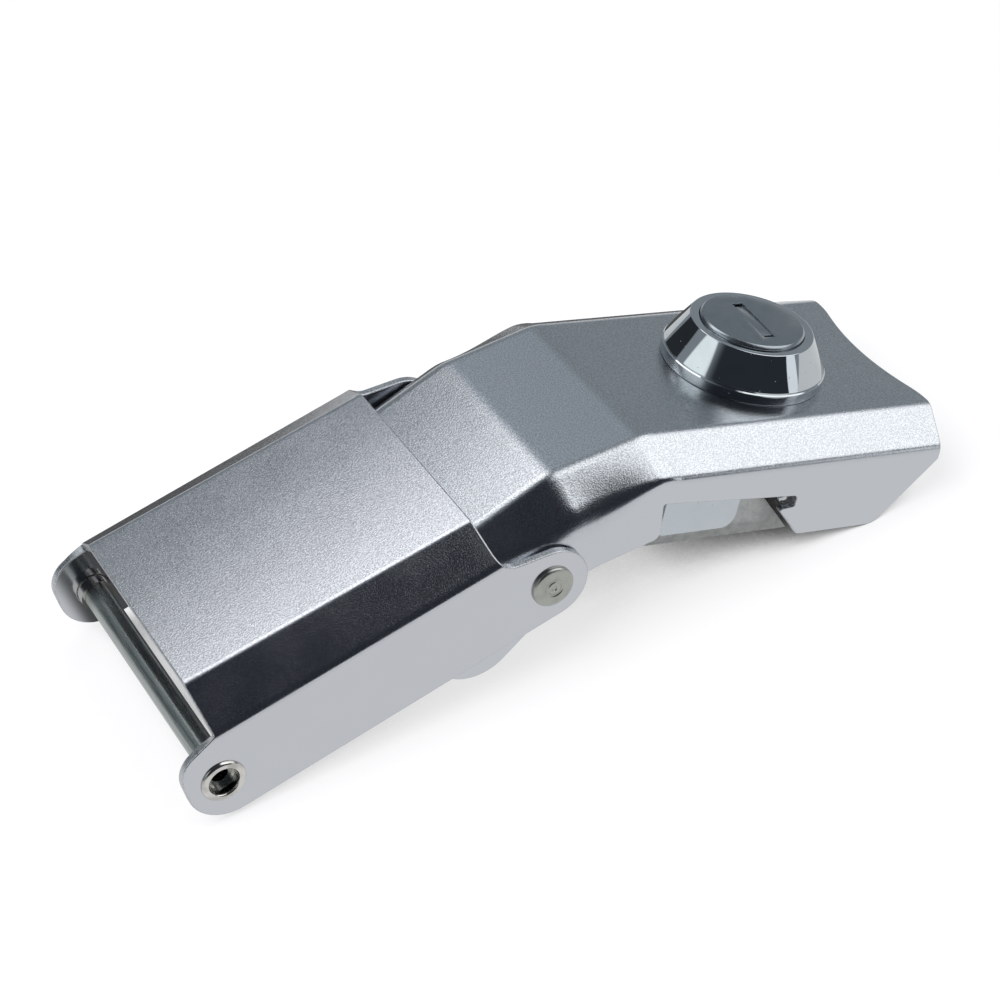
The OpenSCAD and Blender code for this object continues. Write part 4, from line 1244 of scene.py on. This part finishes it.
    def end_at(self, y: np.ndarray) -> np.ndarray:
        """Where the plate ends, along it, at the distance y from the middle."""
        flat, soft = self.flat / 2, 0.5
        slant = self.end_slant / (SIZES.lever_half - flat) * soft * np.logaddexp(0, (y - flat) / soft)
        r = (self.hollow_half ** 2 + self.finger_hollow ** 2) / (2 * self.finger_hollow)
        hollow = self.finger_hollow - r + np.sqrt(np.maximum(r * r - y * y, 0))
        blend = 0.25
        return self.plate_len - blend * np.logaddexp(slant / blend, hollow / blend)

    def build_shell(self) -> None:
        """Builds the folded sheet."""
        sheet = FoldedSheet(self.top, self.half, self.drop, self.flat / 2, self.bend, self.low_bend,
                            SIZES.sheet)
        cosine, sine = math.cos(PLATE_DROP), math.sin(PLATE_DROP)
        side = densify(self.side(), 0.3)
        along = (side[:, 0] - SIZES.second[0]) * cosine - (side[:, 1] - SIZES.second[1]) * sine
        wall_end = float(self.end_at(np.array([SIZES.lever_half]))[0])
        first = int(np.argmax(along < wall_end))
        f = (along[first - 1] - wall_end) / (along[first - 1] - along[first])
        side = np.vstack([side[first - 1] + f * (side[first] - side[first - 1]), side[first:]])
        path = np.stack([side[:, 0], sheet.unfold(side[:, 0], side[:, 1])], axis=1)
        v = densify(np.array([[0.0, 0.0], [0.0, path[0, 1]]]), 0.2)[:-1, 1]
        x = np.full(len(v), path[0, 0])
        for _ in range(12):
            y, d = sheet.section(x, sheet.way(v), 0.0)
            x = SIZES.second[0] + self.end_at(y) * cosine - d * sine
        end = np.array([path[-1], [path[-1, 0], 0.0]])
        outer = np.vstack([np.stack([x, v], axis=1), path, densify(end, 0.25)[1:]])
        ring = np.array(arc(SIZES.hinge, SIZES.bush_d / 2, 0, math.tau, 48))[:-1, :2]
        bush = np.stack([ring[:, 0], sheet.unfold(ring[:, 0], ring[:, 1])], axis=1)
        angles = np.linspace(0, math.tau, 97)[:-1]
        gap, flats = SIZES.barrel_d / 2 + 0.1, SIZES.barrel_d / 2 - 0.8
        s, y = np.clip(gap * np.cos(angles), -flats, flats), gap * np.sin(angles)
        barrel_x = SIZES.second[0] + (SIZES.lock_s + s) * cosine
        barrel = np.stack([barrel_x, sheet.unfold_plan(barrel_x, y)], axis=1)
        crest, second = SIZES.crest[0], SIZES.second[0]
        columns = [*np.linspace(crest - 1.6, crest + 1.6, 11),
                   *np.arange(crest + 2, second - 2, 0.8), *np.linspace(second - 2, second + 1.8, 13),
                   *np.arange(second + 4, second + 44, 4.0), 40.0, 44.0, 48.0]
        mesher = SheetMesher(sheet, outer, [bush, bush * np.array([1, -1]), barrel], columns)
        mesh = mesher.mesh("lever_sheet", [LEVER_CHROME.material(), CUT_EDGE.material()])
        piece("lever_sheet", mesh, "lever", ["lever_shell"])

    def build_stops(self, turner: TurnedTree) -> None:
        """Round-ended stops that stand in the claws' undercuts."""
        r, out, inner = 0.8, SIZES.lever_half - 0.8, self.flat / 2 - 1.8
        tip = [(r * math.sin(t), out - 0.4 + 0.4 * math.cos(t)) for t in np.linspace(0, math.pi / 2, 7)]
        profile = [(0, out), *tip[1:], (r, inner), (0, inner)]
        mesh = turner.make("striker_stops", profile, MIRROR_CHROME, 48, 2, turn=(math.pi, 0, 0))
        roof = self.tip_depth - self.undercut_h
        place = SIZES.on_plate(self.claw_tip + self.undercut_w / 2, -(roof + self.tip_depth - 0.3) / 2)
        lay_mesh(mesh, ACROSS, (place[0], 0, place[1]))
        piece("striker_stops", mesh, "lever", ["striker_stop_near", "striker_stop_far"])

    def build_studs(self, turner: TurnedTree) -> None:
        """Headed studs that hold the bolt against the guide plates."""
        guide = SIZES.lever_half - SIZES.sheet - 1.0
        head = guide - 0.25 - 1.2 - 0.25
        profile = [(0, guide), (1.0, guide), (1.0, head), (1.55, head), (1.7, head - 0.15),
                   (1.7, head - 0.45), (1.5, head - 0.6), (0, head - 0.6)]
        meshes = []
        for s in (3.6, 7.0):
            mesh = turner.make("guide_stud", profile, ZINC_STEEL, 32, 2, turn=(math.pi, 0, 0))
            place = SIZES.on_plate(s + SIZES.wall_s, SIZES.wall_h - 10.0)
            meshes.append(lay_mesh(mesh, ACROSS, (place[0], 0, place[1])))
        piece("guide_studs", joined(meshes, "guide_studs"), "lever",
              ["guide_studs_near", "guide_studs_far"])


@dataclass
class Lock:
    """Cylinder lock: bezel with its barrel, plug with shutter and wafers, and what clamps it."""

    flange: float = 2.75
    rim_d: float = 18.2
    height: float = 6.55
    band: float = 1.7
    gasket: float = 0.4
    lip: float = 0.24
    seat: float = 0.04
    flap_depth: float = 0.14
    slot: tuple[float, float] = (9.6, 1.9)
    slot_gap: float = 0.06
    barrel_len: float = 9.3
    plug_d: float = 15.4
    core_d: float = 13.8

    def build(self, turner: TurnedTree) -> None:
        """Builds and dresses the lock's pieces."""
        self.build_bezel(turner)
        dress("bezel_gasket", RUBBER)
        nut = softened("lock_nut", "lock_nut_plated", ZINC_STEEL, 0.3, 3)
        piece("lock_nut_plated", nut, "lever", ["lock_nut"])
        dress("lock_washer", ZINC_STEEL)
        plug = softened("lock_plug", "lock_plug_face", PLUG_SATIN, 0.08)
        piece("lock_plug_face", plug, "plug", ["lock_plug"])
        shutter = softened("key_shutter", "key_shutter_flap", PLUG_SATIN, 0.05)
        self.raise_flap(shutter, plug)
        piece("key_shutter_flap", shutter, "shutter", ["key_shutter"])
        dress("wafers", BRASS)
        dress("plug_clip", SPRING_STEEL)
        for node, finish in (("cam", ZINC_STEEL), ("cam_washer", ZINC_STEEL), ("cam_screw", ZINC_STEEL)):
            mesh = softened(node, node + "_plated", finish, 0.1)
            piece(node + "_plated", mesh, "plug", [node])

    def raise_flap(self, flap: bpy.types.Mesh, plug: bpy.types.Mesh) -> None:
        """Lifts the key flap until it lies just under the plug's face, and fits it into the slot.

        Args:
            flap: The flap's mesh.
            plug: The plug's mesh.
        """
        up = STAND.direction(LOCK_AXES[2])
        co, face = corners_of(flap), corners_of(plug)
        hinge = next(joint for joint in frame["joints"] if joint["name"] == "shutter_flap")
        long = unit(np.array(hinge["axis"]))
        for way, size in ((long, self.slot[0]), (np.cross(up, long), self.slot[1])):
            along, over = co @ way, face @ way
            middle, half = (along.max() + along.min()) / 2, (along.max() - along.min()) / 2
            fit = min(1.0, (size / 2 - self.slot_gap) * MM / half)
            co += np.outer((along - middle) * fit + (over.max() + over.min()) / 2 - along, way)
        lift = (face @ up).max() - self.flap_depth * MM - (co @ up).max()
        flap.vertices.foreach_set("co", (co + lift * up).ravel())
        flap.update()
        log.info("key flap lifted by %.2f mm", lift / MM)

    def build_bezel(self, turner: TurnedTree) -> None:
        """Conical bezel in one piece with its barrel."""
        play, step, flat_cut = 0.06, 4.1, 0.9
        foot, rim, bore = SIZES.barrel_d / 2 + self.flange, self.rim_d / 2, self.plug_d / 2 + play
        core, barrel = self.core_d / 2 + play, SIZES.barrel_d / 2
        top, band = self.height, self.band
        profile = outline([
            (bore, step, 0), (bore, top, 0.12), (rim, top, 0.18), (foot - 0.2, band + 0.25, 0.05),
            (foot - 0.2, band, 0.03), (foot, band - 0.15, 0.05),
            (foot, self.seat, 0.1), (foot - self.lip, self.seat, 0), (foot - self.lip, self.gasket, 0),
            (barrel, self.gasket, 0), (barrel, -self.barrel_len, 0.4),
            (core, -self.barrel_len, 0.2), (core, step, 0)], 5)
        profile = np.vstack([profile, profile[:1]])
        mesh = turner.make("lock_bezel", profile.tolist(), MIRROR_CHROME, 192)
        co = corners_of(mesh)
        flats = barrel - flat_cut
        low = (co[:, 2] < self.gasket - 0.01) & (np.hypot(co[:, 0], co[:, 1]) < barrel + 0.01)
        co[low, 0] = np.clip(co[low, 0], -flats, flats)
        mesh.vertices.foreach_set("co", co.ravel())
        lay_mesh(mesh, LOCK_AXES, LOCK_AT)
        piece("lock_bezel", mesh, "lever", ["lock_housing"])


@dataclass
class Bolt:
    """Sliding bolt that closes the throat behind the claws.

    Attributes:
        edge: Bevel of its sharp edges.
        wall: Half its width over the walls.
        fold: Radius of the channel's folds.
        depth: How far it reaches under the plate.
        nose_lean: Slope of its nose, along for each unit down.
    """

    edge: float = 0.12
    wall: float = 20.55
    fold: float = 2.2
    depth: float = 14.9
    nose_lean: float = 0.97

    def build(self) -> None:
        """Builds and dresses the bolt."""
        mesh = softened("sliding_bolt", "sliding_bolt_channel", BOLT_ZINC, self.edge)
        self.square(mesh)
        piece("sliding_bolt_channel", drawn_in(mesh), "bolt", ["sliding_bolt"])

    def square(self, mesh: bpy.types.Mesh) -> None:
        """Draws the walls down past the channel's rounded folds, so that they end in a plain edge.

        Args:
            mesh: The bolt's mesh.
        """
        co = corners_of(mesh)
        tilt = math.radians(SIZES.plate_drop)
        along = STAND.direction(np.array([math.cos(tilt), 0.0, -math.sin(tilt)]))
        above = STAND.direction(np.array([math.sin(tilt), 0.0, math.cos(tilt)]))
        start = STAND.lay(np.array([SIZES.second[0], 0.0, SIZES.second[1]]))
        s, h = (co - start) @ along / MM, (co - start) @ above / MM
        reach = np.clip(np.abs(co[:, 1]) / MM - (self.wall - self.fold), 0, self.fold)
        down = self.fold - np.sqrt(self.fold ** 2 - reach ** 2)
        down[h > 0.1 + self.fold - self.depth] = 0
        out = np.where(s > self.fold * 2, down * self.nose_lean, 0)
        co += (np.outer(out, along) - np.outer(down, above)) * MM
        mesh.vertices.foreach_set("co", co.ravel())
        mesh.update()


# Studio

@dataclass(frozen=True)
class Patch:
    """A soft-edged area of the surroundings, seen from the latch.

    Attributes:
        way: Direction to its middle, in the latch's frame.
        inner: Angle from its middle to where it starts to fade, in degrees.
        outer: Angle at which it has faded out.
        colour: Its light.
    """

    way: tuple[float, float, float]
    inner: float
    outer: float
    colour: Colour


@dataclass
class Studio:
    """Pale floor, soft light and the camera at the photograph's viewing angle.

    Attributes:
        eye, forward, right, lens: The camera's place, ways and focal length, in the latch's frame.
        box_light: Light of the soft box for each square metre, over pi.
        ground: Light of the surroundings outside the patches.
        shade, shade_edge: The floor's mirror image in the latch's shade, and how soft its edge is.
        shaded: That shade's ends along and across the latch, in millimetres.
        contact, contact_air: Reach of the contact shade, and the openness over which it fades.
        floor_half, floor_glow: Half the floor's side in metres, and how far it is lit evenly.
        lamp_place, lamp_towards, lamp_side, lamp_watts: The broad lamp.
        patches: Areas of light and dark round the latch, the later ones over the earlier.
    """

    eye: tuple[float, float, float] = (-30.99, -282.67, 278.39)
    forward: tuple[float, float, float] = (0.21043, 0.69273, -0.68981)
    right: tuple[float, float, float] = (0.84958, -0.47868, -0.22155)
    lens: float = 103.788
    box_light: float = 1.75
    ground: Colour = (0.3, 0.335, 0.36)
    shade: float = 0.12
    shade_edge: float = 4.0
    shaded: tuple[tuple[float, float], tuple[float, float]] = ((-2, 119), (-16, 100))
    contact: float = 30.0
    contact_air: tuple[float, float] = (0.12, 0.45)
    floor_half: float = 3.0
    floor_glow: float = 0.75
    lamp_place: tuple[float, float, float] = (-0.25, -0.15, 0.9)
    lamp_towards: tuple[float, float, float] = (0.05, 0, 0)
    lamp_side: float = 0.7
    lamp_watts: float = 9.0
    patches: tuple[Patch, ...] = (
        Patch((0.38, 0.68, 0.627), 6, 10, (0.45, 0.5, 0.56)),
        Patch((-0.33, 0.88, 0.33), 17, 20, (0.03, 0.035, 0.04)),
        Patch((-0.68, 0.2, 0.71), 17, 20, (1.25, 1.33, 1.35)),
        Patch((0.0, -0.71, 0.71), 38, 56, (0.03, 0.035, 0.045)),
        Patch((0.66, -0.72, 0.18), 13, 17, (0.03, 0.035, 0.045)),
        Patch((0.776, -0.63, 0.0), 8, 9, (1.1, 1.15, 1.2)),
        Patch((0.768, -0.177, 0.616), 26, 33, (1.65, 1.68, 1.7)),
    )

    def build(self) -> None:
        """Builds the stage."""
        self.build_floor()
        self.build_world()
        self.build_lights()
        self.build_camera()
        bpy.context.scene.view_settings.view_transform = "Standard"

    def build_floor(self) -> None:
        """Large pale floor that keeps the object's shadow."""
        low = float(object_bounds()[0][2])
        mesh = bpy.data.meshes.new("floor")
        half = self.floor_half
        corners = [(x * half, y * half, low) for x, y in ((-1, -1), (1, -1), (1, 1), (-1, 1))]
        mesh.from_pydata(corners, [], [(0, 1, 2, 3)])
        made = bpy.data.materials.new("pale floor")
        made.use_nodes = True
        bench = NodeBench(made.node_tree)
        where = bench.add("ShaderNodeTexCoord").outputs["Object"]
        tone = bench.mix(bench.noise(where, 80.0, 2.0), (0.93, 0.93, 0.94, 1), (0.96, 0.96, 0.965, 1))
        # Painted contact shade: where ambient occlusion finds the floor hidden, its colour goes nearly black
        # and its glow for the camera is turned off.
        hidden = bench.add("ShaderNodeAmbientOcclusion", {"Distance": self.contact * MM}).outputs["AO"]
        open_air = bench.ramp(hidden, *self.contact_air)
        matt = bench.add("ShaderNodeBsdfDiffuse", {
            "Color": bench.mix(open_air, (0.02, 0.022, 0.022, 1), tone)})
        bright = bench.add("ShaderNodeEmission", {"Color": (0.985, 0.985, 0.99, 1), "Strength": 1.0})
        # Painted shade: the floor's mirror image is darkened in a fixed oblong under the latch and on its
        # far side.
        mirrored = bench.add("ShaderNodeEmission", {
            "Color": (0.8, 0.81, 0.82, 1), "Strength": self.open_floor(bench, where, *self.shaded)})
        ray = bench.add("ShaderNodeLightPath").outputs
        lit = bench.maths("MULTIPLY", ray["Is Camera Ray"], open_air)
        mixed = bench.add("ShaderNodeMixShader", {
            0: bench.maths("MULTIPLY", lit, self.floor_glow), 1: matt.outputs[0], 2: bright.outputs[0]})
        mixed = bench.add("ShaderNodeMixShader", {
            0: bench.maths("MAXIMUM", ray["Is Glossy Ray"], ray["Is Transmission Ray"]),
            1: mixed.outputs[0], 2: mirrored.outputs[0]})
        bench.add("ShaderNodeOutputMaterial", {"Surface": mixed.outputs[0]})
        mesh.materials.append(made)
        floor = bpy.data.objects.new("floor", mesh)
        bpy.context.scene.collection.objects.link(floor)
        floor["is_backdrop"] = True

    def open_floor(self, bench: NodeBench, where: object, along: Sequence[float],
                   across: Sequence[float]) -> bpy.types.NodeSocket:
        """Mask of the floor, dark inside an oblong that lies in the latch's shade.

        Args:
            bench: The floor's nodes.
            where: Place on the floor.
            along: The oblong's ends along the latch, in millimetres.
            across: The oblong's ends across the latch.

        Returns:
            The mask, 1 outside the oblong.
        """
        place = bench.add("ShaderNodeSeparateXYZ", {0: where}).outputs
        inside: object = 1.0
        for axis, (low, high) in (("X", along), ("Y", across)):
            for end, way in ((low, 1), (high, -1)):
                soft = (end - way * self.shade_edge / 2) * MM, (end + way * self.shade_edge / 2) * MM
                inside = bench.maths("MULTIPLY", inside, bench.ramp(place[axis], *soft))
        return bench.ramp(inside, 0.0, 1.0, 1.0, self.shade)

    def build_world(self) -> None:
        """Surroundings that the metal mirrors: light at the back, dark overhead and in front."""
        world = bpy.data.worlds.new("studio")
        bpy.context.scene.world = world
        world.use_nodes = True
        bench = NodeBench(world.node_tree)
        way = bench.add("ShaderNodeTexCoord").outputs["Generated"]
        colour: object = rgba(self.ground)
        for patch in self.patches:
            middle = unit(STAND.direction(np.array(patch.way)))
            near = bench.add("ShaderNodeVectorMath", {0: way, 1: tuple(middle)}, operation="DOT_PRODUCT")
            inside = bench.ramp(near.outputs["Value"], math.cos(math.radians(patch.outer)),
                                math.cos(math.radians(patch.inner)))
            colour = bench.mix(inside, colour, rgba(patch.colour))
        ray = bench.add("ShaderNodeLightPath").outputs["Is Camera Ray"]
        colour = bench.mix(ray, colour, (1.0, 1.0, 1.0, 1.0))
        shade = bench.add("ShaderNodeBackground", {"Color": colour, "Strength": 1.0})
        bench.add("ShaderNodeOutputWorld", {"Surface": shade.outputs[0]})

    def build_lights(self) -> None:
        """A broad soft lamp for the floor and the shadows, and the soft box behind the latch.

        The broad lamp is left out of the mirror images. The soft box stands near, so that its lower
        edge shades the flat tops from their far to their near side.
        """
        broad = self.lamp("broad lamp", self.lamp_place, self.lamp_towards,
                          (self.lamp_side, self.lamp_side), self.lamp_watts)
        broad.visible_glossy = False
        across, low, high, y_low, y_high = (0.016, 0.15), 0.168, 0.48, 0.15, 0.1
        middle = (sum(across) / 2, (y_low + y_high) / 2, (low + high) / 2)
        size = (across[1] - across[0], math.hypot(high - low, y_high - y_low))
        facing = (middle[0], middle[1] - (high - low), middle[2] - (y_low - y_high))
        self.lamp("soft box", middle, facing, size, self.box_light * math.pi * size[0] * size[1])

    @staticmethod
    def lamp(name: str, place: Sequence[float], towards: Sequence[float], size: Sequence[float],
             energy: float) -> bpy.types.Object:
        """Adds a rectangular lamp.

        Args:
            name: Its name.
            place: Its middle, in metres of the latch's frame.
            towards: A point that it faces.
            size: Its width and height.
            energy: Its power in watts.

        Returns:
            The lamp's object.
        """
        lamp = bpy.data.lights.new(name, "AREA")
        lamp.shape, lamp.size, lamp.size_y, lamp.energy = "RECTANGLE", size[0], size[1], energy
        lamp.color = (1.0, 0.985, 1.0)
        obj = bpy.data.objects.new(name, lamp)
        obj.location = STAND.direction(np.array(place))
        way = Vector(STAND.direction(np.subtract(towards, place)))
        obj.rotation_euler = way.to_track_quat("-Z", "Y").to_euler()
        bpy.context.scene.collection.objects.link(obj)
        return obj

    def build_camera(self) -> None:
        """Camera fitted to the photograph's edges and circles."""
        camera = bpy.data.cameras.new("camera")
        camera.lens, camera.sensor_width, camera.clip_start, camera.clip_end = self.lens, 36.0, 0.01, 20.0
        obj = bpy.data.objects.new("camera", camera)
        back = -unit(STAND.direction(np.array(self.forward)))
        right = unit(STAND.direction(np.array(self.right)))
        up = np.cross(back, right)
        turn = Matrix((right, up, back)).transposed().to_4x4()
        obj.matrix_world = Matrix.Translation(Vector(STAND.lay(np.array(self.eye)))) @ turn
        bpy.context.scene.collection.objects.link(obj)
        bpy.context.scene.camera = obj


def main() -> None:
    """Builds each sub-assembly in turn, then the studio under and round it."""
    logging.basicConfig(level=logging.INFO, format="%(name)s: %(message)s")
    turner = TurnedTree()
    for assembly in (LinkCover(), Lever(), Lock()):
        assembly.build(turner)
        log.info("%s is done", type(assembly).__name__)
    Bolt().build()
    Studio().build()


if __name__ == "__main__":
    main()
